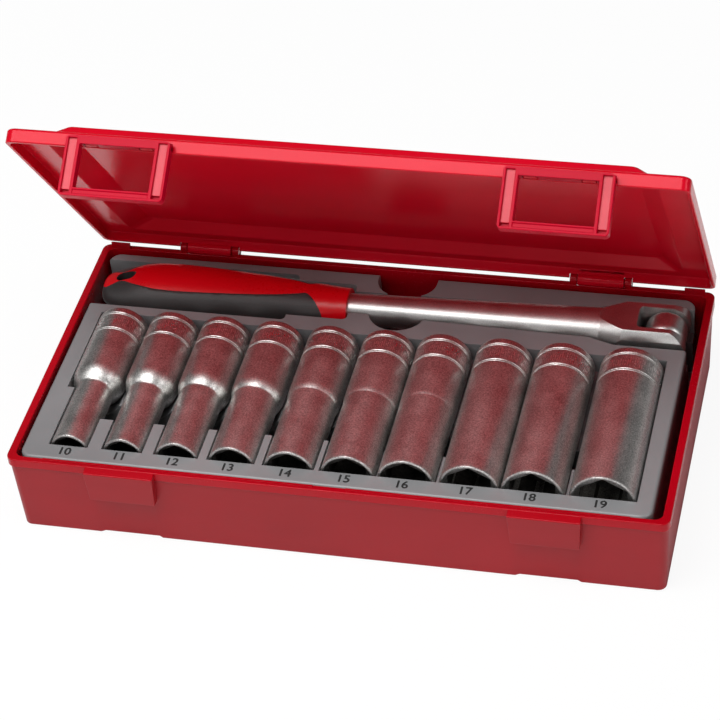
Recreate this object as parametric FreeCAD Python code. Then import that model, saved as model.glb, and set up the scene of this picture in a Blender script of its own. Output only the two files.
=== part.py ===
import FreeCAD, Part
import math
import os

# Socket set case: a hinged plastic box with a moulded tray that holds ten deep
# sockets and one flexible-head handle. Millimetres. X runs along the case,
# Y from the front wall to the hinges, Z up. The origin is the middle of the underside.

# Case
CASE_DEPTH = 137.0
CASE_HEIGHT = 38.0
CASE_CORNER_RADIUS = 3.5
CASE_FLOOR = 2.2
SIDE_RIM_WIDTH = 3.2
END_RIM_WIDTH = 2.7
RIM_BAND_HEIGHT = 5.0
RIM_BAND_STEP = 0.6
SIDE_DRAFT = 1.2
FRONT_DRAFT = 0.2
CASE_UNDERSIDE_BEVEL = 0.8
SEAL_RIDGE_WIDTH = 0.8
SEAL_RIDGE_HEIGHT = 1.2
SEAL_RIDGE_INSET = 12.0
CORNER_RIDGE_HEIGHT = 3.0
CORNER_RIDGE_LENGTH = 8.5
OVERCUT = 1.0

# Hinges and latches share the same two stations along the case
STATION_FROM_END = 47.7
HINGE_AXIS_BEHIND_CASE = 1.0
HINGE_AXIS_ABOVE_RIM = 0.5
HINGE_ROD_RADIUS = 1.6
HINGE_BORE_CLEARANCE = 0.08
HINGE_KNUCKLE_RADIUS = 3.1
HINGE_KNUCKLE_LENGTH = 19.4
HINGE_CHEEK_RADIUS = 2.6
HINGE_CHEEK_THICKNESS = 3.0
HINGE_SIDE_PLAY = 0.3
HINGE_NOTCH_CLEARANCE = 0.4
HINGE_MOUTH_WIDTH = 2.4

# Lid
LID_OPEN_ANGLE = 54.6
LID_SEAM = 0.3
LID_WALL_HEIGHT = 5.9
LID_WALL = 1.7
PLATFORM_HEIGHT = 5.0
PLATFORM_END_INSET = 21.0
PLATFORM_EDGE_INSET = 9.5
PLATFORM_END_BEVEL = 8.7
PLATFORM_EDGE_BEVEL = 2.5

# Catch pads on the front wall
PAD_WIDTH = 28.5
PAD_FOOT_WIDTH = 27.0
PAD_HEIGHT = 16.4
PAD_REACH = 3.2
PAD_FOOT_REACH = 2.6
PAD_PANEL_WIDTH = 24.0
PAD_PANEL_DEPTH = 0.4

# Latch frames
LATCH_WIDTH = 41.6
LATCH_WINDOW_WIDTH = 30.0
LATCH_TOP_ABOVE_RIM = 3.6
LATCH_TOP_BAR = 3.3
LATCH_LOWER_BAR = 3.4
LATCH_PAD_CLEARANCE = 0.7
LATCH_WALL_GAP = 0.5
LATCH_FRAME_DEPTH = 4.2
LATCH_PIVOT_FROM_WALL = 1.9
LATCH_HEEL_RADIUS = 1.6
LATCH_ROD_RADIUS = 0.9
LATCH_BORE_CLEARANCE = 0.06
LATCH_HOOK_RADIUS = 1.7
LATCH_HOOK_WIDTH = 5.0
LATCH_HOOK_OFFSET = 11.0
LATCH_HOOK_ROOT = 0.6
LATCH_HOOK_MOUTH = 1.3
LATCH_SLOT_CLEARANCE = 0.4
LATCH_GROOVE_WIDTH = 3.0
LATCH_GROOVE_DEPTH = 1.4
LATCH_GROOVE_END = 1.2

# Tray
TRAY_TOP_BELOW_RIM = 1.0
TRAY_SIDE_CLEARANCE = 1.5
TRAY_FAR_CLEARANCE = 4.1
TRAY_FRONT_CLEARANCE = 0.3
TRAY_BACK_CLEARANCE = 1.8
TRAY_CORNER_RADIUS = 5.0
TRAY_EDGE_ROUND = 1.4
TRAY_WALL = 1.8
TRAY_LEDGE_WIDTH = 7.9
TRAY_SMALL_END_BORDER = 7.6
TRAY_LARGE_END_BORDER = 7.0
TRAY_POCKET_END_ROOM = 4.3
TRAY_FIT = 0.4
TRAY_DEEP_POCKET_FLOOR = 16.0
TRAY_PARTITION_LENGTH = 17.2
TRAY_THINNEST_PARTITION = 1.5
TRAY_POCKET_CORNER = 2.0

# Sockets
SOCKET_LENGTH = 77.0
SOCKET_MOUTH_ROOM = 0.8
SOCKET_AXIS_BELOW_RIM = 3.8
SOCKET_BODY_LENGTH = 34.0
SOCKET_SHOULDER_LENGTH = 9.5
SOCKET_MOUTH_ROUND = 0.6
SOCKET_BACK_CHAMFER = 1.2
SOCKET_RING_FROM_BACK = 4.5
SOCKET_RING_SPACING = 9.6
SOCKET_RING_WIDTH = 0.6
SOCKET_RING_DEPTH = 0.25
SOCKET_LEAD_IN = 0.7
SOCKET_HEX_DEPTH = 18.0
SOCKET_BORE_UNDER_HEX = 1.0
SOCKET_DRIVE_DEPTH = 16.0
DRIVE_SQUARE = 12.7
DRIVE_SQUARE_CLEARANCE = 0.2
SMALLEST_HEXAGON = 10.0
HEXAGON_STEP = 1.0
HEXAGON_SIDES = 6
SHOULDER_CURVE_STEPS = 8
NOSE_10 = 15.5
NOSE_11 = 16.3
NOSE_12 = 17.8
NOSE_13 = 19.0
NOSE_14 = 20.4
NOSE_15 = 21.6
NOSE_16 = 22.6
NOSE_17 = 23.8
NOSE_18 = 24.8
NOSE_19 = 26.0
DRIVE_END_SMALL = 21.6
DRIVE_END_15 = 22.4
DRIVE_END_16 = 23.0
GAP_BEFORE_10 = 0.0
GAP_BEFORE_11 = 0.7
GAP_BEFORE_12 = 0.7
GAP_BEFORE_13 = 1.0
GAP_BEFORE_14 = 1.8
GAP_BEFORE_15 = 1.6
GAP_BEFORE_16 = 0.5
GAP_BEFORE_17 = 1.7
GAP_BEFORE_18 = 0.5
GAP_BEFORE_19 = 1.9
SOCKET_NAMES = ("10", "11", "12", "13", "14", "15", "16", "17", "18", "19")
NOSES = (NOSE_10, NOSE_11, NOSE_12, NOSE_13, NOSE_14, NOSE_15, NOSE_16, NOSE_17, NOSE_18, NOSE_19)
DRIVE_ENDS = (
    DRIVE_END_SMALL,
    DRIVE_END_SMALL,
    DRIVE_END_SMALL,
    DRIVE_END_SMALL,
    DRIVE_END_SMALL,
    DRIVE_END_15,
    DRIVE_END_16,
    NOSE_17,
    NOSE_18,
    NOSE_19,
)
GAPS = (
    GAP_BEFORE_10,
    GAP_BEFORE_11,
    GAP_BEFORE_12,
    GAP_BEFORE_13,
    GAP_BEFORE_14,
    GAP_BEFORE_15,
    GAP_BEFORE_16,
    GAP_BEFORE_17,
    GAP_BEFORE_18,
    GAP_BEFORE_19,
)

# Handle
HANDLE_AXIS_FROM_BACK = 24.1
HANDLE_AXIS_BELOW_RIM = 4.5
HANDLE_BUTT_GAP = 4.0
HANDLE_FORK_GAP = 5.0
GRIP_LENGTH = 107.8
SHANK_RADIUS_AT_GRIP = 6.4
SHANK_RADIUS_AT_FORK = 9.0
SHANK_TAIL_RADIUS = 5.0
SHANK_TAIL_LENGTH = 70.0
SHANK_LENGTH = 105.9
FORK_TAPER_LENGTH = 10.2
FORK_WIDTH = 22.5
FORK_HEIGHT = 17.4
FORK_ROUND_RADIUS = 13.4
FORK_END_RADIUS = 9.0
FORK_SLOT_WIDTH = 13.0
FORK_SLOT_LENGTH = 11.3
FORK_SLOT_CORNER = 2.0
PIVOT_FROM_FORK_START = 16.7
PIVOT_PIN_RADIUS = 3.0
PIVOT_PIN_RECESS = 0.4
PIVOT_BORE_CLEARANCE = 0.08
HEAD_RADIUS = 8.6
HEAD_EDGE_ROUND = 3.2
HEAD_SIDE_CLEARANCE = 0.15
TANG_REACH = 24.0
TANG_TIP_CHAMFER = 1.5
HEAD_SWING = 15.0
BALL_RADIUS = 2.2
BALL_PROUD = 0.9
BALL_FROM_TIP = 7.0
BALL_CLEARANCE = 0.07
BALL_HOLE_DEPTH = 7.0
BALL_TRAVEL = 0.8
DETENT_SPRING_WIRE = 0.5
DETENT_SPRING_TURNS = 3
PLUNGER_RADIUS = 2.4
PLUNGER_LENGTH = 5.0
PLUNGER_CLEARANCE = 0.08
PLUNGER_GAP_TO_HEAD = 0.05
PLUNGER_BORE_DEPTH = 10.0
FRICTION_SPRING_WIRE = 0.8
FRICTION_SPRING_TURNS = 3
SPRING_SEAT_GAP = 0.05

# Grip sections, each a distance from the butt, a half width and a half height
GRIP_BUTT = (0.0, 5.2, 3.4)
GRIP_BUTT_ROUND = (2.6, 8.8, 5.4)
GRIP_HANG_HOLE = (8.0, 11.4, 7.1)
GRIP_HEEL = (15.0, 13.0, 9.6)
GRIP_HEEL_END = (23.0, 13.8, 11.2)
GRIP_PALM = (39.0, 13.8, 11.6)
GRIP_FINGERS = (65.0, 12.3, 10.9)
GRIP_NECK = (87.0, 10.6, 9.6)
GRIP_COLLAR = (GRIP_LENGTH, 8.7, 8.2)
GRIP_STATIONS = (
    GRIP_BUTT,
    GRIP_BUTT_ROUND,
    GRIP_HANG_HOLE,
    GRIP_HEEL,
    GRIP_HEEL_END,
    GRIP_PALM,
    GRIP_FINGERS,
    GRIP_NECK,
    GRIP_COLLAR,
)
SHELL_EDGE_ABOVE_AXIS = 9.0
SHELL_EDGE_AT_BUTT = 2.6
SHELL_EDGE_RISE_LENGTH = 24.0
OVERMOULD_END = 98.0
OVERMOULD_END_CURVE = 9.0
HANG_HOLE_LENGTH = 9.0
HANG_HOLE_WIDTH = 5.4
HANG_HOLE_FROM_BUTT = 10.3

# Channel and finger rooms around the handle
GRIP_POCKET_FIT = 1.0
GRIP_POCKET_NARROWS = 83.0
GRIP_POCKET_NARROWING = 3.4
GRIP_POCKET_DROP = 0.6
SHANK_CHANNEL_FIT = 0.5
SHANK_SEAT_FIT = 0.35
FORK_POCKET_SIDE_ROOM = 1.6
FORK_POCKET_LEAD = 3.0
FORK_POCKET_DROP = 0.35
TANG_PIT_FIT = 0.7
TANG_PIT_FLOOR_FIT = 1.2
FINGER_NOTCH_LENGTH = 25.4
FINGER_NOTCH_CENTRE = 4.0
FINGER_NOTCH_CORNER = 10.0
FINGER_NOTCH_FLOOR = 10.0
SCOOP_RADIUS = 12.5
SCOOP_CENTRE_FROM_AXIS = 3.2
SCOOP_FLOOR = 14.0

# Places worked out from the sizes above: the case is as long as the tools need
SOCKET_ROW = sum(max(nose, drive) + gap for nose, drive, gap in zip(NOSES, DRIVE_ENDS, GAPS))
TRAY_ROOM = TRAY_SMALL_END_BORDER + SOCKET_ROW + TRAY_LARGE_END_BORDER
ROW_ROOM = TRAY_SIDE_CLEARANCE + TRAY_ROOM + TRAY_FAR_CLEARANCE
HANDLE_LENGTH = GRIP_LENGTH + SHANK_LENGTH + FORK_TAPER_LENGTH + PIVOT_FROM_FORK_START + FORK_END_RADIUS
HANDLE_ROOM = HANDLE_BUTT_GAP + HANDLE_LENGTH + HANDLE_FORK_GAP
CASE_LENGTH = max(ROW_ROOM, HANDLE_ROOM) + 2 * SIDE_RIM_WIDTH
HALF_LENGTH = CASE_LENGTH / 2
STATION_OFFSET = HALF_LENGTH - STATION_FROM_END
HALF_DEPTH = CASE_DEPTH / 2
INNER_HALF_LENGTH = HALF_LENGTH - SIDE_RIM_WIDTH
INNER_HALF_DEPTH = HALF_DEPTH - END_RIM_WIDTH
HINGE_Y = HALF_DEPTH + HINGE_AXIS_BEHIND_CASE
HINGE_Z = CASE_HEIGHT + HINGE_AXIS_ABOVE_RIM
LID_FOOT_Z = CASE_HEIGHT + LID_SEAM
LID_TOP_Z = LID_FOOT_Z + LID_WALL_HEIGHT
TRAY_LEFT = -INNER_HALF_LENGTH + TRAY_SIDE_CLEARANCE
TRAY_RIGHT = INNER_HALF_LENGTH - TRAY_FAR_CLEARANCE
TRAY_FRONT = -INNER_HALF_DEPTH + TRAY_FRONT_CLEARANCE
TRAY_BACK = INNER_HALF_DEPTH - TRAY_BACK_CLEARANCE
TRAY_TOP = CASE_HEIGHT - TRAY_TOP_BELOW_RIM
POCKET_FRONT = TRAY_FRONT + TRAY_LEDGE_WIDTH
SOCKET_MOUTH_Y = POCKET_FRONT + SOCKET_MOUTH_ROOM
SOCKET_BACK_Y = SOCKET_MOUTH_Y + SOCKET_LENGTH
SOCKET_AXIS_Z = CASE_HEIGHT - SOCKET_AXIS_BELOW_RIM
POCKET_BACK = SOCKET_BACK_Y + TRAY_POCKET_END_ROOM
HANDLE_Y = HALF_DEPTH - HANDLE_AXIS_FROM_BACK
HANDLE_Z = CASE_HEIGHT - HANDLE_AXIS_BELOW_RIM
BUTT_X = -INNER_HALF_LENGTH + HANDLE_BUTT_GAP
COLLAR_X = BUTT_X + GRIP_LENGTH
TAPER_X = COLLAR_X + SHANK_LENGTH
FORK_X = TAPER_X + FORK_TAPER_LENGTH
PIVOT_X = FORK_X + PIVOT_FROM_FORK_START
SLOT_X = PIVOT_X - FORK_SLOT_LENGTH
LATCH_PIVOT_Y = -HALF_DEPTH - LATCH_PIVOT_FROM_WALL
LATCH_TOP_Z = CASE_HEIGHT + LATCH_TOP_ABOVE_RIM
LATCH_PIVOT_Z = LATCH_TOP_Z - LATCH_TOP_BAR / 2
LATCH_BACK_Y = -HALF_DEPTH - LATCH_WALL_GAP
LATCH_WINDOW_TOP = LATCH_TOP_Z - LATCH_TOP_BAR
LATCH_WINDOW_FOOT = CASE_HEIGHT - PAD_HEIGHT - LATCH_PAD_CLEARANCE
LATCH_FOOT_Z = LATCH_WINDOW_FOOT - LATCH_LOWER_BAR

ALONG_X = FreeCAD.Vector(1, 0, 0)
ALONG_Y = FreeCAD.Vector(0, 1, 0)
ALONG_Z = FreeCAD.Vector(0, 0, 1)
THROUGH = 300.0


def point(x, y, z):
    return FreeCAD.Vector(x, y, z)


def block(x0, x1, y0, y1, z0, z1):
    """A box between two corners."""
    return Part.makeBox(x1 - x0, y1 - y0, z1 - z0, point(x0, y0, z0))


def rod_x(radius, x0, x1, y, z):
    """A round bar along X."""
    return Part.makeCylinder(radius, x1 - x0, point(x0, y, z), ALONG_X)


def rod_y(radius, y0, y1, x, z):
    """A round bar along Y."""
    return Part.makeCylinder(radius, y1 - y0, point(x, y0, z), ALONG_Y)


def rod_z(radius, z0, z1, x, y):
    """A round bar along Z."""
    return Part.makeCylinder(radius, z1 - z0, point(x, y, z0), ALONG_Z)


def rounded_outline(x0, x1, y0, y1, z, radius):
    """A closed rectangle with round corners, level at z."""
    middle = radius * (1 - math.sqrt(0.5))
    corners = (
        (point(x1 - radius, y0, z), point(x1 - middle, y0 + middle, z), point(x1, y0 + radius, z)),
        (point(x1, y1 - radius, z), point(x1 - middle, y1 - middle, z), point(x1 - radius, y1, z)),
        (point(x0 + radius, y1, z), point(x0 + middle, y1 - middle, z), point(x0, y1 - radius, z)),
        (point(x0, y0 + radius, z), point(x0 + middle, y0 + middle, z), point(x0 + radius, y0, z)),
    )
    edges = []
    for index, (start, middle_point, end) in enumerate(corners):
        before = corners[index - 1][2]
        edges.append(Part.LineSegment(before, start).toShape())
        edges.append(Part.Arc(start, middle_point, end).toShape())
    return Part.Wire(edges)


def rounded_block(x0, x1, y0, y1, z0, z1, radius):
    """A box with round upright edges."""
    return Part.Face(rounded_outline(x0, x1, y0, y1, z0, radius)).extrude(point(0, 0, z1 - z0))


def prism_along_x(profile, x0, x1):
    """Extrude a closed list of (y, z) points along X."""
    loop = [point(x0, y, z) for y, z in profile]
    return Part.Face(Part.makePolygon(loop + loop[:1])).extrude(point(x1 - x0, 0, 0))


def turned_y(profile, x, z):
    """Turn a closed list of (radius, y) points about an axis along Y."""
    loop = [point(x + radius, y, z) for radius, y in profile]
    return Part.Face(Part.makePolygon(loop + loop[:1])).revolve(point(x, 0, z), ALONG_Y, 360)


def joined(shapes):
    """One solid from several that meet."""
    whole = shapes[0].multiFuse(shapes[1:])
    return whole.removeSplitter()


def upright_prism(outline, z):
    """Extrude a closed list of (x, y) points from z to above the tray."""
    loop = [point(x, y, z) for x, y in outline]
    return Part.Face(Part.makePolygon(loop + loop[:1])).extrude(point(0, 0, TRAY_TOP + OVERCUT - z))


def top_edges(shape, z):
    """The edges that lie wholly in the plane at this height."""
    near = 0.001
    return [e for e in shape.Edges if abs(e.BoundBox.ZMin - z) < near and abs(e.BoundBox.ZMax - z) < near]


# The case bottom: drafted walls, a stepped rim, catch pads and hinge rods, moulded in one
def inset_outline(inset_x, inset_y, z):
    """The case outline drawn in by the same amount all along, level at z."""
    return rounded_outline(
        -HALF_LENGTH + inset_x,
        HALF_LENGTH - inset_x,
        -HALF_DEPTH + inset_y,
        HALF_DEPTH - inset_y,
        z,
        CASE_CORNER_RADIUS,
    )


def case_walls():
    """The outer body of the case bottom, before it is hollowed."""
    band_foot = CASE_HEIGHT - RIM_BAND_HEIGHT
    foot_x = RIM_BAND_STEP + SIDE_DRAFT
    foot_y = RIM_BAND_STEP + FRONT_DRAFT
    bevel = CASE_UNDERSIDE_BEVEL
    sole = inset_outline(foot_x + bevel, foot_y + bevel, 0)
    foot = inset_outline(foot_x, foot_y, bevel)
    shoulder = inset_outline(RIM_BAND_STEP, RIM_BAND_STEP, band_foot)
    walls = Part.makeLoft([sole, foot, shoulder], True, True)
    band = rounded_block(
        -HALF_LENGTH, HALF_LENGTH, -HALF_DEPTH, HALF_DEPTH, band_foot, CASE_HEIGHT, CASE_CORNER_RADIUS
    )
    return joined([walls, band])


def catch_pad(station):
    """A wedge that the latch frame snaps round, widest and deepest at the rim."""
    rim_y = -HALF_DEPTH
    foot_z = CASE_HEIGHT - PAD_HEIGHT
    root_y = rim_y + RIM_BAND_STEP + FRONT_DRAFT
    top = Part.makePolygon(
        [
            point(station - PAD_WIDTH / 2, root_y, CASE_HEIGHT),
            point(station + PAD_WIDTH / 2, root_y, CASE_HEIGHT),
            point(station + PAD_WIDTH / 2, rim_y - PAD_REACH, CASE_HEIGHT),
            point(station - PAD_WIDTH / 2, rim_y - PAD_REACH, CASE_HEIGHT),
            point(station - PAD_WIDTH / 2, root_y, CASE_HEIGHT),
        ]
    )
    foot = Part.makePolygon(
        [
            point(station - PAD_FOOT_WIDTH / 2, root_y, foot_z),
            point(station + PAD_FOOT_WIDTH / 2, root_y, foot_z),
            point(station + PAD_FOOT_WIDTH / 2, rim_y - PAD_FOOT_REACH, foot_z),
            point(station - PAD_FOOT_WIDTH / 2, rim_y - PAD_FOOT_REACH, foot_z),
            point(station - PAD_FOOT_WIDTH / 2, root_y, foot_z),
        ]
    )
    return Part.makeLoft([foot, top], True, True)


def hinge_cheeks(station):
    """Two ears behind the rim, joined by the rod that the lid turns on."""
    half_zone = HINGE_KNUCKLE_LENGTH / 2 + HINGE_SIDE_PLAY
    ears = []
    for side in (-1, 1):
        near = station + side * half_zone
        far = near + side * HINGE_CHEEK_THICKNESS
        left = min(near, far)
        right = max(near, far)
        disc = rod_x(HINGE_CHEEK_RADIUS, left, right, HINGE_Y, HINGE_Z)
        stem = prism_along_x(
            [
                (HALF_DEPTH - RIM_BAND_STEP, CASE_HEIGHT - RIM_BAND_HEIGHT),
                (HINGE_Y + HINGE_CHEEK_RADIUS, HINGE_Z),
                (HALF_DEPTH, HINGE_Z),
                (HALF_DEPTH - RIM_BAND_STEP, CASE_HEIGHT),
            ],
            left,
            right,
        )
        ears.append(disc)
        ears.append(stem)
    rod = rod_x(HINGE_ROD_RADIUS, station - half_zone, station + half_zone, HINGE_Y, HINGE_Z)
    return ears + [rod]


def base_tub():
    """The case bottom."""
    body = case_walls()
    hollow = rounded_block(
        -INNER_HALF_LENGTH,
        INNER_HALF_LENGTH,
        -INNER_HALF_DEPTH,
        INNER_HALF_DEPTH,
        CASE_FLOOR,
        CASE_HEIGHT + OVERCUT,
        CASE_CORNER_RADIUS,
    )
    body = body.cut(hollow)
    ridge_end = INNER_HALF_LENGTH - SEAL_RIDGE_INSET
    ridge = block(
        -ridge_end,
        ridge_end,
        -INNER_HALF_DEPTH - SEAL_RIDGE_WIDTH,
        -INNER_HALF_DEPTH,
        CASE_HEIGHT,
        CASE_HEIGHT + SEAL_RIDGE_HEIGHT,
    )
    added = [ridge]
    for side in (-1, 1):
        outer_end = side * (INNER_HALF_LENGTH - SEAL_RIDGE_WIDTH)
        inner_end = outer_end - side * CORNER_RIDGE_LENGTH
        corner_ridge = block(
            min(inner_end, outer_end),
            max(inner_end, outer_end),
            INNER_HALF_DEPTH,
            INNER_HALF_DEPTH + SEAL_RIDGE_WIDTH,
            CASE_HEIGHT,
            CASE_HEIGHT + CORNER_RIDGE_HEIGHT,
        )
        added.append(corner_ridge)
    for station in (-STATION_OFFSET, STATION_OFFSET):
        half_knuckle = HINGE_KNUCKLE_LENGTH / 2 + HINGE_SIDE_PLAY
        notch = rod_x(
            HINGE_KNUCKLE_RADIUS + HINGE_NOTCH_CLEARANCE,
            station - half_knuckle,
            station + half_knuckle,
            HINGE_Y,
            HINGE_Z,
        )
        body = body.cut(notch)
        panel = block(
            station - PAD_PANEL_WIDTH / 2,
            station + PAD_PANEL_WIDTH / 2,
            -HALF_DEPTH,
            -HALF_DEPTH + RIM_BAND_STEP + FRONT_DRAFT + PAD_PANEL_DEPTH,
            -OVERCUT,
            CASE_HEIGHT - PAD_HEIGHT,
        )
        body = body.cut(panel)
        added.append(catch_pad(station))
        added.extend(hinge_cheeks(station))
    return joined([body] + added)


# The lid, drawn shut and turned open about the hinge rods at the end
def platform(inset, top_z, foot_z):
    """The raised field on the lid, as a block with sloping sides."""
    x_top = HALF_LENGTH - PLATFORM_END_INSET - inset
    y_top = HALF_DEPTH - PLATFORM_EDGE_INSET - inset
    x_foot = x_top + PLATFORM_END_BEVEL
    y_foot = y_top + PLATFORM_EDGE_BEVEL
    radius = CASE_CORNER_RADIUS
    foot = rounded_outline(-x_foot, x_foot, -y_foot, y_foot, foot_z, radius)
    top = rounded_outline(-x_top, x_top, -y_top, y_top, top_z, radius)
    return Part.makeLoft([foot, top], True, True)


def latch_hooks(station):
    """Two C hooks on the front wall of the lid that hold a latch's rod."""
    hooks = []
    for side in (-1, 1):
        middle = station + side * LATCH_HOOK_OFFSET
        left = middle - LATCH_HOOK_WIDTH / 2
        right = middle + LATCH_HOOK_WIDTH / 2
        eye = rod_x(LATCH_HOOK_RADIUS, left, right, LATCH_PIVOT_Y, LATCH_PIVOT_Z)
        root = block(
            left,
            right,
            LATCH_PIVOT_Y,
            -HALF_DEPTH + LATCH_HOOK_ROOT,
            LATCH_PIVOT_Z - LATCH_HOOK_RADIUS / 2,
            LATCH_PIVOT_Z + LATCH_HOOK_RADIUS,
        )
        bore = rod_x(LATCH_ROD_RADIUS + LATCH_BORE_CLEARANCE, left, right, LATCH_PIVOT_Y, LATCH_PIVOT_Z)
        mouth = block(
            left,
            right,
            LATCH_PIVOT_Y - THROUGH,
            LATCH_PIVOT_Y,
            LATCH_PIVOT_Z - LATCH_HOOK_MOUTH / 2,
            LATCH_PIVOT_Z + LATCH_HOOK_MOUTH / 2,
        )
        hooks.append(eye.fuse(root).cut(bore).cut(mouth))
    return hooks


def lid_shut():
    """The lid in its closed place."""
    skirt = rounded_block(
        -HALF_LENGTH, HALF_LENGTH, -HALF_DEPTH, HALF_DEPTH, LID_FOOT_Z, LID_TOP_Z, CASE_CORNER_RADIUS
    )
    skirt = skirt.makeChamfer(CASE_UNDERSIDE_BEVEL, top_edges(skirt, LID_TOP_Z))
    body = skirt.fuse(platform(0, LID_TOP_Z + PLATFORM_HEIGHT, LID_TOP_Z))
    inner_skirt = rounded_block(
        -HALF_LENGTH + LID_WALL,
        HALF_LENGTH - LID_WALL,
        -HALF_DEPTH + LID_WALL,
        HALF_DEPTH - LID_WALL,
        LID_FOOT_Z - OVERCUT,
        LID_TOP_Z - LID_WALL,
        CASE_CORNER_RADIUS - LID_WALL,
    )
    ceiling = LID_TOP_Z + PLATFORM_HEIGHT - LID_WALL
    body = body.cut(inner_skirt).cut(platform(LID_WALL / 2, ceiling, LID_TOP_Z - LID_WALL))
    added = []
    for station in (-STATION_OFFSET, STATION_OFFSET):
        half_knuckle = HINGE_KNUCKLE_LENGTH / 2
        inner = half_knuckle + HINGE_SIDE_PLAY
        ear_room = rod_x(
            HINGE_CHEEK_RADIUS + HINGE_NOTCH_CLEARANCE,
            station - inner - HINGE_CHEEK_THICKNESS - HINGE_SIDE_PLAY,
            station + inner + HINGE_CHEEK_THICKNESS + HINGE_SIDE_PLAY,
            HINGE_Y,
            HINGE_Z,
        )
        body = body.cut(ear_room)
        knuckle = rod_x(
            HINGE_KNUCKLE_RADIUS, station - half_knuckle, station + half_knuckle, HINGE_Y, HINGE_Z
        )
        web = block(
            station - half_knuckle,
            station + half_knuckle,
            HALF_DEPTH - LID_WALL,
            HINGE_Y + HINGE_KNUCKLE_RADIUS / 2,
            HINGE_Z,
            LID_TOP_Z - LID_WALL,
        )
        bore = rod_x(
            HINGE_ROD_RADIUS + HINGE_BORE_CLEARANCE,
            station - half_knuckle,
            station + half_knuckle,
            HINGE_Y,
            HINGE_Z,
        )
        mouth = block(
            station - half_knuckle,
            station + half_knuckle,
            HINGE_Y - HINGE_MOUTH_WIDTH / 2,
            HINGE_Y + HINGE_MOUTH_WIDTH / 2,
            HINGE_Z - THROUGH,
            HINGE_Z,
        )
        added.append(knuckle.fuse(web).cut(bore).cut(mouth))
        added.extend(latch_hooks(station))
    return joined([body] + added)


def opened(shape):
    """Turn a piece that rides on the lid from shut to its resting angle."""
    turned = shape.copy()
    turned.rotate(point(0, HINGE_Y, HINGE_Z), ALONG_X, -LID_OPEN_ANGLE)
    return turned


# A latch frame: an open rectangle whose side bars are channels, hung from the lid
def latch_shut(station):
    """One latch, drawn as it hangs when the case is locked."""
    left = station - LATCH_WIDTH / 2
    right = station + LATCH_WIDTH / 2
    front_y = LATCH_BACK_Y - LATCH_FRAME_DEPTH
    frame = block(left, right, front_y, LATCH_BACK_Y, LATCH_FOOT_Z, LATCH_PIVOT_Z)
    frame = frame.cut(block(left, right, LATCH_PIVOT_Y, LATCH_BACK_Y, LATCH_WINDOW_TOP, LATCH_PIVOT_Z))
    window = block(
        station - LATCH_WINDOW_WIDTH / 2,
        station + LATCH_WINDOW_WIDTH / 2,
        front_y,
        LATCH_BACK_Y,
        LATCH_WINDOW_FOOT,
        LATCH_WINDOW_TOP,
    )
    frame = frame.cut(window)
    top_bar = block(left, right, front_y, LATCH_PIVOT_Y, LATCH_WINDOW_TOP, LATCH_TOP_Z)
    heel = rod_x(LATCH_HEEL_RADIUS, left, right, LATCH_PIVOT_Y, LATCH_PIVOT_Z)
    frame = frame.fuse(top_bar).fuse(heel)
    bar_middle = (LATCH_WIDTH + LATCH_WINDOW_WIDTH) / 4
    for side in (-1, 1):
        groove_x = station + side * bar_middle
        groove = block(
            groove_x - LATCH_GROOVE_WIDTH / 2,
            groove_x + LATCH_GROOVE_WIDTH / 2,
            front_y,
            front_y + LATCH_GROOVE_DEPTH,
            LATCH_FOOT_Z + LATCH_GROOVE_END,
            LATCH_TOP_Z - LATCH_GROOVE_END,
        )
        frame = frame.cut(groove)
        hook_x = station + side * LATCH_HOOK_OFFSET
        half_slot = LATCH_HOOK_WIDTH / 2 + LATCH_SLOT_CLEARANCE
        slot = block(
            hook_x - half_slot,
            hook_x + half_slot,
            LATCH_PIVOT_Y - LATCH_HOOK_RADIUS - LATCH_SLOT_CLEARANCE,
            -HALF_DEPTH,
            LATCH_WINDOW_TOP - OVERCUT,
            LATCH_TOP_Z + OVERCUT,
        )
        frame = frame.cut(slot)
    rod = rod_x(LATCH_ROD_RADIUS, left + OVERCUT, right - OVERCUT, LATCH_PIVOT_Y, LATCH_PIVOT_Z)
    return joined([frame, rod])


# Sockets lie in a row, mouths to the front, each as far from the last as its tray gap says
def socket_places():
    """The X place of each socket's axis, from the small end of the tray."""
    places = []
    edge = TRAY_LEFT + TRAY_SMALL_END_BORDER
    for nose, drive, gap in zip(NOSES, DRIVE_ENDS, GAPS):
        width = max(nose, drive)
        places.append(edge + gap + width / 2)
        edge = edge + gap + width
    return places


def shoulder_profile(nose_radius, drive_radius, start_y, end_y):
    """Points of the S curve that widens the nose to the drive end."""
    points = []
    for step in range(SHOULDER_CURVE_STEPS + 1):
        share = step / SHOULDER_CURVE_STEPS
        ease = (1 - math.cos(math.pi * share)) / 2
        radius = nose_radius + (drive_radius - nose_radius) * ease
        points.append((radius, start_y + (end_y - start_y) * share))
    return points


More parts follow.
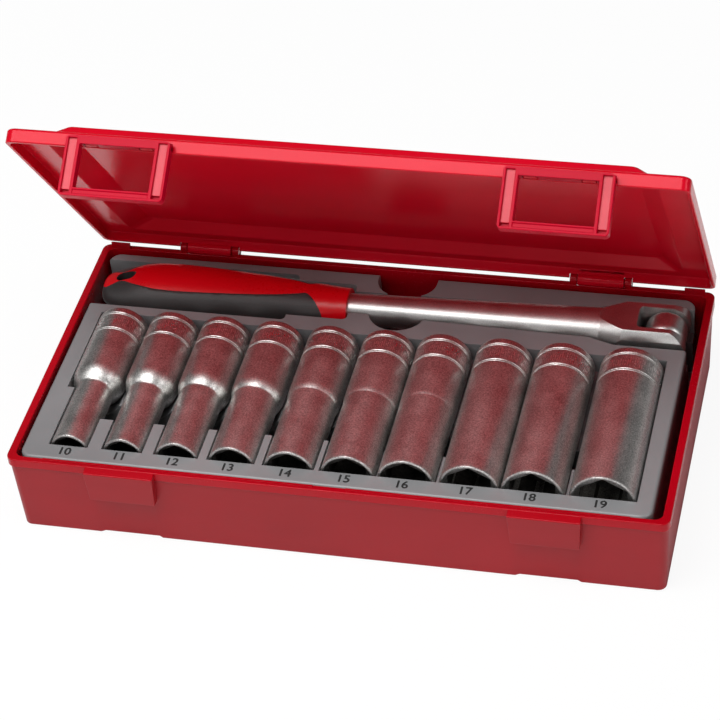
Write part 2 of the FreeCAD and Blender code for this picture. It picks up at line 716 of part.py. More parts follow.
def socket(hexagon_size, nose, drive, x):
    """A deep socket: hexagon at the mouth, a clearance bore, and the drive square at the back."""
    nose_radius = nose / 2
    drive_radius = drive / 2
    front = SOCKET_MOUTH_Y
    back = SOCKET_BACK_Y
    shoulder_back = back - SOCKET_BODY_LENGTH
    outline = [(0, front), (nose_radius - SOCKET_MOUTH_ROUND, front)]
    outline.append((nose_radius, front + SOCKET_MOUTH_ROUND))
    if nose < drive:
        outline += shoulder_profile(
            nose_radius, drive_radius, shoulder_back - SOCKET_SHOULDER_LENGTH, shoulder_back
        )
    for ring in (SOCKET_RING_FROM_BACK + SOCKET_RING_SPACING, SOCKET_RING_FROM_BACK):
        middle = back - ring
        floor = drive_radius - SOCKET_RING_DEPTH
        outline.append((drive_radius, middle - SOCKET_RING_WIDTH / 2))
        outline.append((floor, middle - SOCKET_RING_WIDTH / 4))
        outline.append((floor, middle + SOCKET_RING_WIDTH / 4))
        outline.append((drive_radius, middle + SOCKET_RING_WIDTH / 2))
    outline.append((drive_radius, back - SOCKET_BACK_CHAMFER))
    outline.append((drive_radius - SOCKET_BACK_CHAMFER, back))
    outline.append((0, back))
    body = turned_y(outline, x, SOCKET_AXIS_Z)
    corner = hexagon_size / math.sqrt(3)
    loop = []
    for index in range(HEXAGON_SIDES + 1):
        angle = math.radians(360 / HEXAGON_SIDES * index)
        corner_x = x + corner * math.cos(angle)
        corner_z = SOCKET_AXIS_Z + corner * math.sin(angle)
        loop.append(point(corner_x, front - OVERCUT, corner_z))
    hexagon = Part.Face(Part.makePolygon(loop)).extrude(point(0, SOCKET_HEX_DEPTH + OVERCUT, 0))
    lead_in = Part.makeCone(
        corner + SOCKET_LEAD_IN / 2,
        corner - SOCKET_LEAD_IN,
        SOCKET_LEAD_IN,
        point(x, front, SOCKET_AXIS_Z),
        ALONG_Y,
    )
    bore_radius = (hexagon_size - SOCKET_BORE_UNDER_HEX) / 2
    bore_front = front + SOCKET_HEX_DEPTH - OVERCUT
    bore_back = back - SOCKET_DRIVE_DEPTH + OVERCUT
    bore = rod_y(bore_radius, bore_front, bore_back, x, SOCKET_AXIS_Z)
    half_square = (DRIVE_SQUARE + DRIVE_SQUARE_CLEARANCE) / 2
    square = block(
        x - half_square,
        x + half_square,
        back - SOCKET_DRIVE_DEPTH,
        back + OVERCUT,
        SOCKET_AXIS_Z - half_square,
        SOCKET_AXIS_Z + half_square,
    )
    return body.cut(hexagon).cut(lead_in).cut(bore).cut(square)


# The tray: a hollow moulding open underneath, with a pocket for each tool
def slot_for_rod(radius, y0, y1, x, z, grow):
    """A round-bottomed slot open at the top, for a bar along Y."""
    lying = rod_y(radius + grow, y0 - grow, y1 + grow, x, z)
    above = block(x - radius - grow, x + radius + grow, y0 - grow, y1 + grow, z, TRAY_TOP + OVERCUT)
    return lying.fuse(above)


def socket_rooms(grow):
    """Room for the ten sockets, each larger all round by grow."""
    places = socket_places()
    halves = [max(nose, drive) / 2 for nose, drive in zip(NOSES, DRIVE_ENDS)]
    shoulder_front = SOCKET_BACK_Y - SOCKET_BODY_LENGTH - SOCKET_SHOULDER_LENGTH
    partition_back = POCKET_FRONT + TRAY_PARTITION_LENGTH
    rooms = []
    for nose, half, x in zip(NOSES, halves, places):
        nose_room = nose / 2 + TRAY_FIT
        body_room = half + TRAY_FIT
        rooms.append(slot_for_rod(nose_room, POCKET_FRONT, shoulder_front, x, SOCKET_AXIS_Z, grow))
        rooms.append(slot_for_rod(body_room, shoulder_front, POCKET_BACK, x, SOCKET_AXIS_Z, grow))
    deep = block(
        places[0] - grow,
        places[-1] + grow,
        partition_back - grow,
        shoulder_front + grow,
        TRAY_DEEP_POCKET_FLOOR - grow,
        TRAY_TOP + OVERCUT,
    )
    rooms.append(deep)
    for index in range(1, len(places)):
        left = places[index - 1]
        right = places[index]
        joint_room = block(
            left + halves[index - 1] / 2 - grow,
            right - halves[index] / 2 + grow,
            shoulder_front - grow,
            POCKET_BACK + grow,
            SOCKET_AXIS_Z - halves[index - 1] / 2 - grow,
            TRAY_TOP + OVERCUT,
        )
        rooms.append(joint_room)
        wall = right - left - (NOSES[index - 1] + NOSES[index]) / 2 - 2 * TRAY_FIT
        if wall < TRAY_THINNEST_PARTITION:
            gap_room = block(
                left - grow,
                right + grow,
                POCKET_FRONT - grow,
                partition_back + grow,
                SOCKET_AXIS_Z - grow,
                TRAY_TOP + OVERCUT,
            )
            rooms.append(gap_room)
    return rooms


def handle_rooms(grow):
    """Room for the handle, each larger all round by grow."""
    grip_half = max(half_width for distance, half_width, half_height in GRIP_STATIONS) + GRIP_POCKET_FIT
    grip_floor = HANDLE_Z - max(half_height for distance, half_width, half_height in GRIP_STATIONS)
    grip = rounded_block(
        TRAY_LEFT - THROUGH,
        BUTT_X + GRIP_POCKET_NARROWS + grow,
        HANDLE_Y - grip_half - grow,
        HANDLE_Y + grip_half + grow,
        grip_floor - GRIP_POCKET_DROP - grow,
        TRAY_TOP + OVERCUT,
        TRAY_POCKET_CORNER + grow,
    )
    collar_half = grip_half - GRIP_POCKET_NARROWING
    collar = rounded_block(
        BUTT_X + GRIP_POCKET_NARROWS / 2,
        COLLAR_X + GRIP_POCKET_FIT + grow,
        HANDLE_Y - collar_half - grow,
        HANDLE_Y + collar_half + grow,
        grip_floor - GRIP_POCKET_DROP - grow,
        TRAY_TOP + OVERCUT,
        TRAY_POCKET_CORNER + grow,
    )
    seat = Part.makeCone(
        SHANK_RADIUS_AT_GRIP + SHANK_SEAT_FIT + grow,
        SHANK_RADIUS_AT_FORK + SHANK_SEAT_FIT + grow,
        SHANK_LENGTH,
        point(COLLAR_X, HANDLE_Y, HANDLE_Z),
        ALONG_X,
    )
    thin_half = SHANK_RADIUS_AT_GRIP + SHANK_CHANNEL_FIT + grow
    thick_half = SHANK_RADIUS_AT_FORK + SHANK_CHANNEL_FIT + grow
    fork_half = FORK_WIDTH / 2 + FORK_POCKET_SIDE_ROOM + grow
    channel = upright_prism(
        [
            (COLLAR_X - grow, HANDLE_Y - thin_half),
            (TAPER_X, HANDLE_Y - thick_half),
            (TAPER_X, HANDLE_Y + thick_half),
            (COLLAR_X - grow, HANDLE_Y + thin_half),
        ],
        HANDLE_Z,
    )
    fork = upright_prism(
        [
            (TAPER_X - FORK_POCKET_LEAD - grow, HANDLE_Y - thick_half),
            (FORK_X - FORK_POCKET_LEAD - grow, HANDLE_Y - fork_half),
            (TRAY_RIGHT + THROUGH, HANDLE_Y - fork_half),
            (TRAY_RIGHT + THROUGH, HANDLE_Y + fork_half),
            (FORK_X - FORK_POCKET_LEAD - grow, HANDLE_Y + fork_half),
            (TAPER_X - FORK_POCKET_LEAD - grow, HANDLE_Y + thick_half),
        ],
        HANDLE_Z - FORK_HEIGHT / 2 - FORK_POCKET_DROP - grow,
    )
    swing = TANG_REACH * math.sin(math.radians(HEAD_SWING)) + DRIVE_SQUARE / 2 + TANG_PIT_FIT
    pit = block(
        PIVOT_X - swing - grow,
        TRAY_RIGHT + THROUGH,
        HANDLE_Y - DRIVE_SQUARE / 2 - TANG_PIT_FIT - grow,
        HANDLE_Y + DRIVE_SQUARE / 2 + TANG_PIT_FIT + grow,
        HANDLE_Z - TANG_REACH - TANG_PIT_FLOOR_FIT - grow,
        TRAY_TOP + OVERCUT,
    )
    notch = rounded_block(
        FINGER_NOTCH_CENTRE - FINGER_NOTCH_LENGTH / 2 - grow,
        FINGER_NOTCH_CENTRE + FINGER_NOTCH_LENGTH / 2 + grow,
        HANDLE_Y + SHANK_RADIUS_AT_GRIP - grow,
        TRAY_BACK + THROUGH,
        FINGER_NOTCH_FLOOR - grow,
        TRAY_TOP + OVERCUT,
        FINGER_NOTCH_CORNER,
    )
    scoop = rod_z(
        SCOOP_RADIUS + grow,
        SCOOP_FLOOR - grow,
        TRAY_TOP + OVERCUT,
        FINGER_NOTCH_CENTRE,
        HANDLE_Y - SCOOP_CENTRE_FROM_AXIS,
    )
    return [grip, collar, seat, channel, fork, pit, notch, scoop]


def socket_tray():
    """The tray, standing on the case floor."""
    outer = rounded_block(
        TRAY_LEFT, TRAY_RIGHT, TRAY_FRONT, TRAY_BACK, CASE_FLOOR, TRAY_TOP, TRAY_CORNER_RADIUS
    )
    outer = outer.makeFillet(TRAY_EDGE_ROUND, top_edges(outer, TRAY_TOP))
    hollow = rounded_block(
        TRAY_LEFT + TRAY_WALL,
        TRAY_RIGHT - TRAY_WALL,
        TRAY_FRONT + TRAY_WALL,
        TRAY_BACK - TRAY_WALL,
        CASE_FLOOR,
        TRAY_TOP - TRAY_WALL,
        TRAY_CORNER_RADIUS - TRAY_WALL,
    )
    skins = socket_rooms(TRAY_WALL) + handle_rooms(TRAY_WALL)
    hollow = hollow.cut(skins[0].multiFuse(skins[1:]))
    rooms = socket_rooms(0) + handle_rooms(0)
    tray = outer.cut(hollow).cut(rooms[0].multiFuse(rooms[1:]))
    pieces = sorted(tray.Solids, key=lambda solid: solid.Volume)
    return pieces[-1].removeSplitter()


# The handle: forged shank and fork, two-part grip, swivelling drive head
def turned_x(outline):
    """Turn a closed list of (x, radius) points about the handle's axis."""
    loop = [point(x, HANDLE_Y, HANDLE_Z + radius) for x, radius in outline]
    return Part.Face(Part.makePolygon(loop + loop[:1])).revolve(point(0, HANDLE_Y, HANDLE_Z), ALONG_X, 360)


def fork_slice(x0, x1):
    """The rectangular bar that the fork is cut from, between two places along X."""
    half_width = FORK_WIDTH / 2
    half_height = FORK_HEIGHT / 2
    return block(
        x0, x1, HANDLE_Y - half_width, HANDLE_Y + half_width, HANDLE_Z - half_height, HANDLE_Z + half_height
    )


def handle_shank():
    """Shank and fork in one forging, with its tail inside the grip."""
    tail_x = COLLAR_X - SHANK_TAIL_LENGTH
    end_x = PIVOT_X + FORK_END_RADIUS
    rod = turned_x(
        [
            (tail_x, 0),
            (tail_x, SHANK_TAIL_RADIUS),
            (COLLAR_X, SHANK_TAIL_RADIUS),
            (COLLAR_X, SHANK_RADIUS_AT_GRIP),
            (TAPER_X, SHANK_RADIUS_AT_FORK),
            (TAPER_X, 0),
        ]
    )
    spade = turned_x(
        [
            (TAPER_X, 0),
            (TAPER_X, SHANK_RADIUS_AT_FORK),
            (FORK_X, FORK_ROUND_RADIUS),
            (end_x, FORK_ROUND_RADIUS),
            (end_x, 0),
        ]
    )
    end = rod_y(FORK_END_RADIUS, HANDLE_Y - FORK_WIDTH / 2, HANDLE_Y + FORK_WIDTH / 2, PIVOT_X, HANDLE_Z)
    end = end.common(fork_slice(PIVOT_X - OVERCUT, end_x))
    body = rod.fuse(spade.common(fork_slice(TAPER_X, PIVOT_X).fuse(end)))
    slot = rounded_block(
        SLOT_X,
        PIVOT_X + THROUGH,
        HANDLE_Y - FORK_SLOT_WIDTH / 2,
        HANDLE_Y + FORK_SLOT_WIDTH / 2,
        HANDLE_Z - FORK_HEIGHT,
        HANDLE_Z + FORK_HEIGHT,
        FORK_SLOT_CORNER,
    )
    pin_hole = rod_y(PIVOT_PIN_RADIUS, HANDLE_Y - FORK_WIDTH, HANDLE_Y + FORK_WIDTH, PIVOT_X, HANDLE_Z)
    plunger_bore = rod_x(
        PLUNGER_RADIUS + PLUNGER_CLEARANCE, SLOT_X - PLUNGER_BORE_DEPTH, SLOT_X, HANDLE_Y, HANDLE_Z
    )
    return body.cut(slot).cut(pin_hole).cut(plunger_bore).removeSplitter()


def hang_hole():
    """The upright slot near the butt of the grip."""
    middle = BUTT_X + HANG_HOLE_FROM_BUTT
    half_run = (HANG_HOLE_LENGTH - HANG_HOLE_WIDTH) / 2
    low = HANDLE_Z - THROUGH / 2
    high = HANDLE_Z + THROUGH / 2
    left = rod_z(HANG_HOLE_WIDTH / 2, low, high, middle - half_run, HANDLE_Y)
    right = rod_z(HANG_HOLE_WIDTH / 2, low, high, middle + half_run, HANDLE_Y)
    between = block(
        middle - half_run,
        middle + half_run,
        HANDLE_Y - HANG_HOLE_WIDTH / 2,
        HANDLE_Y + HANG_HOLE_WIDTH / 2,
        low,
        high,
    )
    return left.fuse(right).fuse(between)


def grip_body():
    """The whole grip, as one smooth form before it is split in two."""
    rings = []
    for distance, half_width, half_height in GRIP_STATIONS:
        centre = point(BUTT_X + distance, HANDLE_Y, HANDLE_Z)
        across = point(0, 1, 0)
        if half_width > half_height:
            ellipse = Part.Ellipse(
                centre + across * half_width, centre + point(0, 0, half_height), centre
            )
        else:
            ellipse = Part.Circle(centre, ALONG_X, half_width)
        rings.append(Part.Wire(ellipse.toShape()))
    body = Part.makeLoft(rings, True, False)
    tail = rod_x(SHANK_TAIL_RADIUS, COLLAR_X - SHANK_TAIL_LENGTH, COLLAR_X + OVERCUT, HANDLE_Y, HANDLE_Z)
    return body.cut(tail).cut(hang_hole())


def below_shell():
    """Everything under the line where the soft overmould meets the hard shell."""
    rise_x = BUTT_X + SHELL_EDGE_RISE_LENGTH
    end_x = BUTT_X + OVERMOULD_END
    curve_x = end_x - OVERMOULD_END_CURVE
    edge_z = HANDLE_Z + SHELL_EDGE_ABOVE_AXIS
    butt_z = HANDLE_Z + SHELL_EDGE_AT_BUTT
    low_z = HANDLE_Z - THROUGH / 4
    front = HANDLE_Y - THROUGH / 4
    quarter = math.sqrt(0.5)
    butt = point(BUTT_X - OVERCUT, front, butt_z)
    risen = point(rise_x, front, edge_z)
    half_way = point(BUTT_X + SHELL_EDGE_RISE_LENGTH / 3, front, (edge_z * 2 + butt_z) / 3)
    turn = point(curve_x, front, edge_z)
    turn_middle = point(
        curve_x + OVERMOULD_END_CURVE * quarter, front, edge_z - SHELL_EDGE_ABOVE_AXIS * (1 - quarter)
    )
    turned = point(end_x, front, HANDLE_Z)
    edges = [
        Part.Arc(butt, half_way, risen).toShape(),
        Part.LineSegment(risen, turn).toShape(),
        Part.Arc(turn, turn_middle, turned).toShape(),
        Part.LineSegment(turned, point(end_x, front, low_z)).toShape(),
        Part.LineSegment(point(end_x, front, low_z), point(BUTT_X - OVERCUT, front, low_z)).toShape(),
        Part.LineSegment(point(BUTT_X - OVERCUT, front, low_z), butt).toShape(),
    ]
    return Part.Face(Part.Wire(edges)).extrude(point(0, THROUGH / 2, 0))


def swivel_head():
    """The drive head: a disc between the tines with the square tang below it."""
    half_width = FORK_SLOT_WIDTH / 2 - HEAD_SIDE_CLEARANCE
    disc = rod_y(HEAD_RADIUS, HANDLE_Y - half_width, HANDLE_Y + half_width, PIVOT_X, HANDLE_Z)
    rims = [edge for edge in disc.Edges if abs(edge.BoundBox.YLength) < HEAD_SIDE_CLEARANCE]
    disc = disc.makeFillet(HEAD_EDGE_ROUND, rims)
    half_square = DRIVE_SQUARE / 2
    tang = block(
        PIVOT_X - half_square,
        PIVOT_X + half_square,
        HANDLE_Y - half_square,
        HANDLE_Y + half_square,
        HANDLE_Z - TANG_REACH,
        HANDLE_Z,
    )
    tang = tang.makeChamfer(TANG_TIP_CHAMFER, top_edges(tang, HANDLE_Z - TANG_REACH))
    bore_radius = PIVOT_PIN_RADIUS + PIVOT_BORE_CLEARANCE
    bore = rod_y(bore_radius, HANDLE_Y - half_width, HANDLE_Y + half_width, PIVOT_X, HANDLE_Z)
    ball_z = HANDLE_Z - TANG_REACH + BALL_FROM_TIP
    face_x = PIVOT_X - half_square
    hole_radius = BALL_RADIUS + BALL_CLEARANCE
    ball_hole = rod_x(hole_radius, face_x - OVERCUT, face_x + BALL_HOLE_DEPTH, HANDLE_Y, ball_z)
    return disc.fuse(tang).cut(bore).cut(ball_hole).removeSplitter()


def detent_ball():
    """The sprung ball that holds a socket on the tang."""
    ball_z = HANDLE_Z - TANG_REACH + BALL_FROM_TIP
    centre_x = PIVOT_X - DRIVE_SQUARE / 2 - BALL_PROUD + BALL_RADIUS
    return Part.makeSphere(BALL_RADIUS, point(centre_x, HANDLE_Y, ball_z))


def coil(start_x, end_x, z, bore_radius, wire, turns):
    """A helical spring along X between two faces, just free of its bore."""
    radius = bore_radius - wire
    length = end_x - start_x - wire
    helix = Part.makeHelix(length / turns, length, radius)
    section = Part.Wire(Part.Circle(point(radius, 0, 0), ALONG_Y, wire / 2).toShape())
    spring = Part.Wire(helix.Edges).makePipeShell([section], True, True)
    spring.rotate(point(0, 0, 0), ALONG_Y, 90)
    spring.translate(point(start_x + wire / 2, HANDLE_Y, z))
    return spring


def detent_spring():
    """The spring behind the ball."""
    ball_z = HANDLE_Z - TANG_REACH + BALL_FROM_TIP
    face_x = PIVOT_X - DRIVE_SQUARE / 2
    start_x = face_x - BALL_PROUD + 2 * BALL_RADIUS + SPRING_SEAT_GAP
    end_x = face_x + BALL_HOLE_DEPTH - SPRING_SEAT_GAP
    return coil(start_x, end_x, ball_z, BALL_RADIUS, DETENT_SPRING_WIRE, DETENT_SPRING_TURNS)


def pivot_pin():
    """The pin through both tines and the head."""
    reach = FORK_WIDTH / 2 - PIVOT_PIN_RECESS
    return rod_y(PIVOT_PIN_RADIUS, HANDLE_Y - reach, HANDLE_Y + reach, PIVOT_X, HANDLE_Z)


def friction_plunger():
    """A short steel plunger that rubs on the head and keeps its angle."""
    tip_x = PIVOT_X - HEAD_RADIUS - PLUNGER_GAP_TO_HEAD
    return rod_x(PLUNGER_RADIUS, tip_x - PLUNGER_LENGTH, tip_x, HANDLE_Y, HANDLE_Z)


def friction_spring():
    """The spring that pushes the plunger."""
    back_x = SLOT_X - PLUNGER_BORE_DEPTH + SPRING_SEAT_GAP
    front_x = PIVOT_X - HEAD_RADIUS - PLUNGER_GAP_TO_HEAD - PLUNGER_LENGTH - SPRING_SEAT_GAP
    return coil(
        back_x, front_x, HANDLE_Z, PLUNGER_RADIUS, FRICTION_SPRING_WIRE, FRICTION_SPRING_TURNS
    )


def write(name, shape):
    """One STEP file for each piece."""
    shape.exportStep("parts/" + name + ".step")
    print(name, shape.isValid(), len(shape.Solids), round(shape.Volume, 1))


os.makedirs("parts", exist_ok=True)
write("base_tub", base_tub())
write("lid", opened(lid_shut()))
write("latch_left", opened(latch_shut(-STATION_OFFSET)))
write("latch_right", opened(latch_shut(STATION_OFFSET)))
write("socket_tray", socket_tray())
for index, place in enumerate(socket_places()):
    hexagon_size = SMALLEST_HEXAGON + index * HEXAGON_STEP
    piece = socket(hexagon_size, NOSES[index], DRIVE_ENDS[index], place)
    write("socket_" + SOCKET_NAMES[index] + "mm", piece)
write("handle_shank", handle_shank())
grip = grip_body()
split = below_shell()
write("grip_shell", grip.cut(split))
write("grip_overmould", grip.common(split))
write("swivel_head", swivel_head())
write("pivot_pin", pivot_pin())
write("detent_ball", detent_ball())
write("detent_spring", detent_spring())
write("friction_plunger", friction_plunger())
write("friction_spring", friction_spring())
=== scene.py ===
import math

import bmesh
import bpy
from mathutils import Matrix, Vector


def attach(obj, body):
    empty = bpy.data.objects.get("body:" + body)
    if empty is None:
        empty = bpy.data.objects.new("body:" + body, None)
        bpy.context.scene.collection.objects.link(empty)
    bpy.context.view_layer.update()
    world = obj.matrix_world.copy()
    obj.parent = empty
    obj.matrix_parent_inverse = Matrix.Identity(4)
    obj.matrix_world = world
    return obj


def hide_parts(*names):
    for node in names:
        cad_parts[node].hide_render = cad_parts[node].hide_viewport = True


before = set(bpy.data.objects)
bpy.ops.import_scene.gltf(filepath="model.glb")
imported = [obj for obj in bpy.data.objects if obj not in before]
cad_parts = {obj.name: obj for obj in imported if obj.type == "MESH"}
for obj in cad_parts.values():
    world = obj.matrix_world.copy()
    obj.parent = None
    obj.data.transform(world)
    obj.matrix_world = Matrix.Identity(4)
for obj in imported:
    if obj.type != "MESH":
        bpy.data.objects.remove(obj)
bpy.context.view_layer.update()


# The view: a long lens from the front, a little from the right and well above,
# turned a few degrees about its own axis.
azimuth = math.radians(16.980)
elevation = math.radians(40.738)
tilt = math.radians(-6.181)
back = Vector(
    (
        math.sin(azimuth) * math.cos(elevation),
        -math.cos(azimuth) * math.cos(elevation),
        math.sin(elevation),
    )
)
level = Vector((math.cos(azimuth), math.sin(azimuth), 0))
upright = back.cross(level)
right = math.cos(tilt) * level + math.sin(tilt) * upright
up = -math.sin(tilt) * level + math.cos(tilt) * upright
aside = -0.005796
above = 0.033978
away = 1.097784
spot = right * aside + up * above + back * away
lens = bpy.data.cameras.new("view")
lens.sensor_width = 36
lens.lens = 132.566
lens.clip_start = 0.01
lens.clip_end = 50
camera = bpy.data.objects.new("view", lens)
camera.matrix_world = Matrix(
    (
        (right.x, up.x, back.x, spot.x),
        (right.y, up.y, back.y, spot.y),
        (right.z, up.z, back.z, spot.z),
        (0, 0, 0, 1),
    )
)
bpy.context.collection.objects.link(camera)
bpy.context.scene.camera = camera
bpy.context.scene.view_settings.view_transform = "Standard"


# The case bottom: one moulding in tough clear-red plastic, satin outside and glossy
# inside, with a stepped rim, a seal ridge, catch pads in front and hinge rods behind.
class Signal:
    """A value in a material, so that sums on values are written as plain sums."""

    def __init__(self, finish, socket):
        self.finish = finish
        self.socket = socket

    def sum_node(self, operation, first, second):
        return self.finish.signal(
            "ShaderNodeMath", 0, {"operation": operation}, {0: first, 1: second}
        )

    def __add__(self, other):
        return self.sum_node("ADD", self, other)

    __radd__ = __add__

    def __sub__(self, other):
        return self.sum_node("SUBTRACT", self, other)

    def __rsub__(self, other):
        return self.sum_node("SUBTRACT", other, self)

    def __mul__(self, other):
        return self.sum_node("MULTIPLY", self, other)

    __rmul__ = __mul__

    def __gt__(self, other):
        return self.sum_node("GREATER_THAN", self, other)

    def __lt__(self, other):
        return self.sum_node("LESS_THAN", self, other)


class Finish:
    """One material and the nodes that make it."""

    def __init__(self, name):
        self.material = bpy.data.materials.new(name)
        self.material.use_nodes = True
        self.tree = self.material.node_tree
        self.tree.nodes.clear()
        self.place = self.signal("ShaderNodeTexCoord", "Object")

    def node(self, kind, settings=None, values=None):
        node = self.tree.nodes.new(kind)
        for name, setting in (settings or {}).items():
            if name == "stops":
                ramp = node.color_ramp
                while len(ramp.elements) < len(setting):
                    ramp.elements.new(0.5)
                for element, (place, colour) in zip(ramp.elements, setting):
                    element.position = place
                    element.color = colour
            else:
                setattr(node, name, setting)
        for name, value in (values or {}).items():
            if isinstance(value, Signal):
                value = value.socket
            if isinstance(value, bpy.types.NodeSocket):
                self.tree.links.new(value, node.inputs[name])
            else:
                node.inputs[name].default_value = value
        return node

    def signal(self, kind, output, settings=None, values=None):
        return Signal(self, self.node(kind, settings, values).outputs[output])

    def noise(self, scale, detail=2):
        return self.signal(
            "ShaderNodeTexNoise", "Fac", None, {"Vector": self.place, "Scale": scale, "Detail": detail}
        )

    def ramp(self, factor, stops):
        return self.signal("ShaderNodeValToRGB", "Color", {"stops": stops}, {"Fac": factor})

    def bump(self, height, distance, strength=1.0):
        values = {"Height": height, "Distance": distance, "Strength": strength}
        return self.signal("ShaderNodeBump", "Normal", None, values)

    def surface(self, values):
        shader = self.node("ShaderNodeBsdfPrincipled", None, values)
        self.node("ShaderNodeOutputMaterial", None, {"Surface": shader.outputs[0]})
        return self.material


def clear_red(name, dark, light, roughness, grain, gloss, gloss_colour):
    """The case plastic: cloudy red with faint flow streaks under a moulded gloss."""
    finish = Finish(name)
    cloud = finish.noise(18, 3)
    fine = finish.noise(900, 2)
    streak_place = finish.signal(
        "ShaderNodeMapping", "Vector", None, {"Vector": finish.place, "Scale": (0.15, 1, 1)}
    )
    streak = finish.signal(
        "ShaderNodeTexNoise", "Fac", None, {"Vector": streak_place, "Scale": 60, "Detail": 4}
    )
    return finish.surface(
        {
            "Base Color": finish.ramp(cloud * 0.6 + streak * 0.4, [(0.3, dark), (0.7, light)]),
            "Roughness": roughness + (fine - 0.5) * 0.12 + (cloud - 0.5) * 0.1,
            "Normal": finish.bump(fine, grain),
            "Specular IOR Level": gloss,
            "Specular Tint": gloss_colour,
        }
    )


plain_gloss = (1, 1, 1, 1)
deep_gloss = (1, 0.4, 0.45, 1)
wall_red = clear_red(
    "wall_red", (0.26, 0.002, 0.006, 1), (0.33, 0.004, 0.01, 1), 0.42, 0.00002, 0.32, plain_gloss
)
case_red = clear_red(
    "case_red", (0.34, 0.0006, 0.005, 1), (0.42, 0.001, 0.009, 1), 0.24, 0.000006, 0.4, deep_gloss
)

half_length = 132.5
half_depth = 68.5
case_height = 38.0
inner_half_length = 129.3
inner_half_depth = 65.8
case_floor = 2.2
band_foot = 33.0
corner_round = 3.4
sole_half_length = 129.9
sole_half_depth = 66.9
sole_round = 0.8
under_band_half_length = 131.9
under_band_half_depth = 67.9
rim_round = 0.4
front_drop = 1.0
hinge_y = 69.5
hinge_z = 38.5
hinge_rod_radius = 1.6
ear_radius = 2.6
ear_width = 3.0
knuckle_room = 10.0
knuckle_room_radius = 3.5
stations = (-84.8, 84.8)
pad_half_width = 14.25
pad_front = -71.7
pad_root = -67.7
pad_foot = 21.6
pad_taper = 0.75
pad_lean = 0.6
pad_slope = 0.8
ridge_inner_end = 6.5
ridge_outer_end = 117.3
ridge_front = -67.2
ridge_back = -66.1
ridge_tall = 0.6
corner_ridge_inner_end = 120.0
corner_ridge_outer_end = 128.5
corner_ridge_width = 0.8
corner_ridge_tall = 3.0
pip_radius = 0.7
pip_rows = (-60.0, -56.0)
pip_heights = (35.0, 31.0)


def plate(shape, half_x, half_y, z, corner):
    """A level face with round corners, to be drawn up or down into walls."""
    made = bmesh.ops.create_grid(shape, x_segments=1, y_segments=1, size=1)
    bmesh.ops.scale(shape, vec=(half_x, half_y, 1), verts=made["verts"])
    bmesh.ops.translate(shape, vec=(0, 0, z), verts=made["verts"])
    bmesh.ops.bevel(
        shape,
        geom=made["verts"],
        affect="VERTICES",
        offset=corner,
        segments=6,
        profile=0.5,
        material=-1,
    )
    shape.faces.ensure_lookup_table()
    return shape.faces[-1]


def draw_on(shape, face, half_x, half_y, z):
    """Extrude a plate's face to a new height, wider or narrower about the middle."""
    grown = bmesh.ops.extrude_face_region(shape, geom=[face] + list(face.edges))["geom"]
    corners = [part for part in grown if isinstance(part, bmesh.types.BMVert)]
    reach_x = max(corner.co.x for corner in corners)
    reach_y = max(corner.co.y for corner in corners)
    bmesh.ops.scale(shape, vec=(half_x / reach_x, half_y / reach_y, 1), verts=corners)
    bmesh.ops.translate(shape, vec=(0, 0, z - corners[0].co.z), verts=corners)
    return [part for part in grown if isinstance(part, bmesh.types.BMFace)][0]


def block(shape, x0, x1, y0, y1, z0, z1):
    """A box between two corners."""
    made = bmesh.ops.create_cube(shape, size=1)["verts"]
    bmesh.ops.scale(shape, vec=(x1 - x0, y1 - y0, z1 - z0), verts=made)
    bmesh.ops.translate(shape, vec=((x0 + x1) / 2, (y0 + y1) / 2, (z0 + z1) / 2), verts=made)
    return made


def bar_x(shape, radius, x0, x1, y, z, sides=40):
    """A round bar along X."""
    made = bmesh.ops.create_cone(
        shape, cap_ends=True, segments=sides, radius1=radius, radius2=radius, depth=x1 - x0
    )["verts"]
    bmesh.ops.rotate(shape, cent=(0, 0, 0), matrix=Matrix.Rotation(math.pi / 2, 3, "Y"), verts=made)
    bmesh.ops.translate(shape, vec=((x0 + x1) / 2, y, z), verts=made)
    return made


def round_edges(shape, width, verts=None, segments=3, least=0.6):
    """Ease the sharp edges among these vertices, or everywhere."""
    shape.normal_update()
    chosen = set(verts or shape.verts)
    edges = [
        edge
        for edge in shape.edges
        if len(edge.link_faces) == 2
        and edge.verts[0] in chosen
        and edge.verts[1] in chosen
        and edge.calc_face_angle() > least
    ]
    bmesh.ops.bevel(
        shape, geom=edges, affect="EDGES", offset=width, segments=segments, profile=0.5, material=-1
    )


def add_shape(shape, other):
    """Put another shape's faces into this one."""
    passing = bpy.data.meshes.new("passing")
    other.to_mesh(passing)
    shape.from_mesh(passing)
    bpy.data.meshes.remove(passing)


def carve(shape, tool):
    """Cut a closed tool out of a closed shape and give the new shape."""
    things = []
    for part in (shape, tool):
        mesh = bpy.data.meshes.new("carving")
        part.to_mesh(mesh)
        thing = bpy.data.objects.new("carving", mesh)
        bpy.context.collection.objects.link(thing)
        things.append(thing)
    cut = things[0].modifiers.new("cut", "BOOLEAN")
    cut.operation = "DIFFERENCE"
    cut.solver = "EXACT"
    cut.use_self = True
    cut.object = things[1]
    evaluated = things[0].evaluated_get(bpy.context.evaluated_depsgraph_get())
    result = bmesh.new()
    result.from_mesh(evaluated.to_mesh())
    evaluated.to_mesh_clear()
    for thing in things:
        bpy.data.objects.remove(thing)
    bmesh.ops.remove_doubles(result, verts=result.verts, dist=0.0005)
    return result


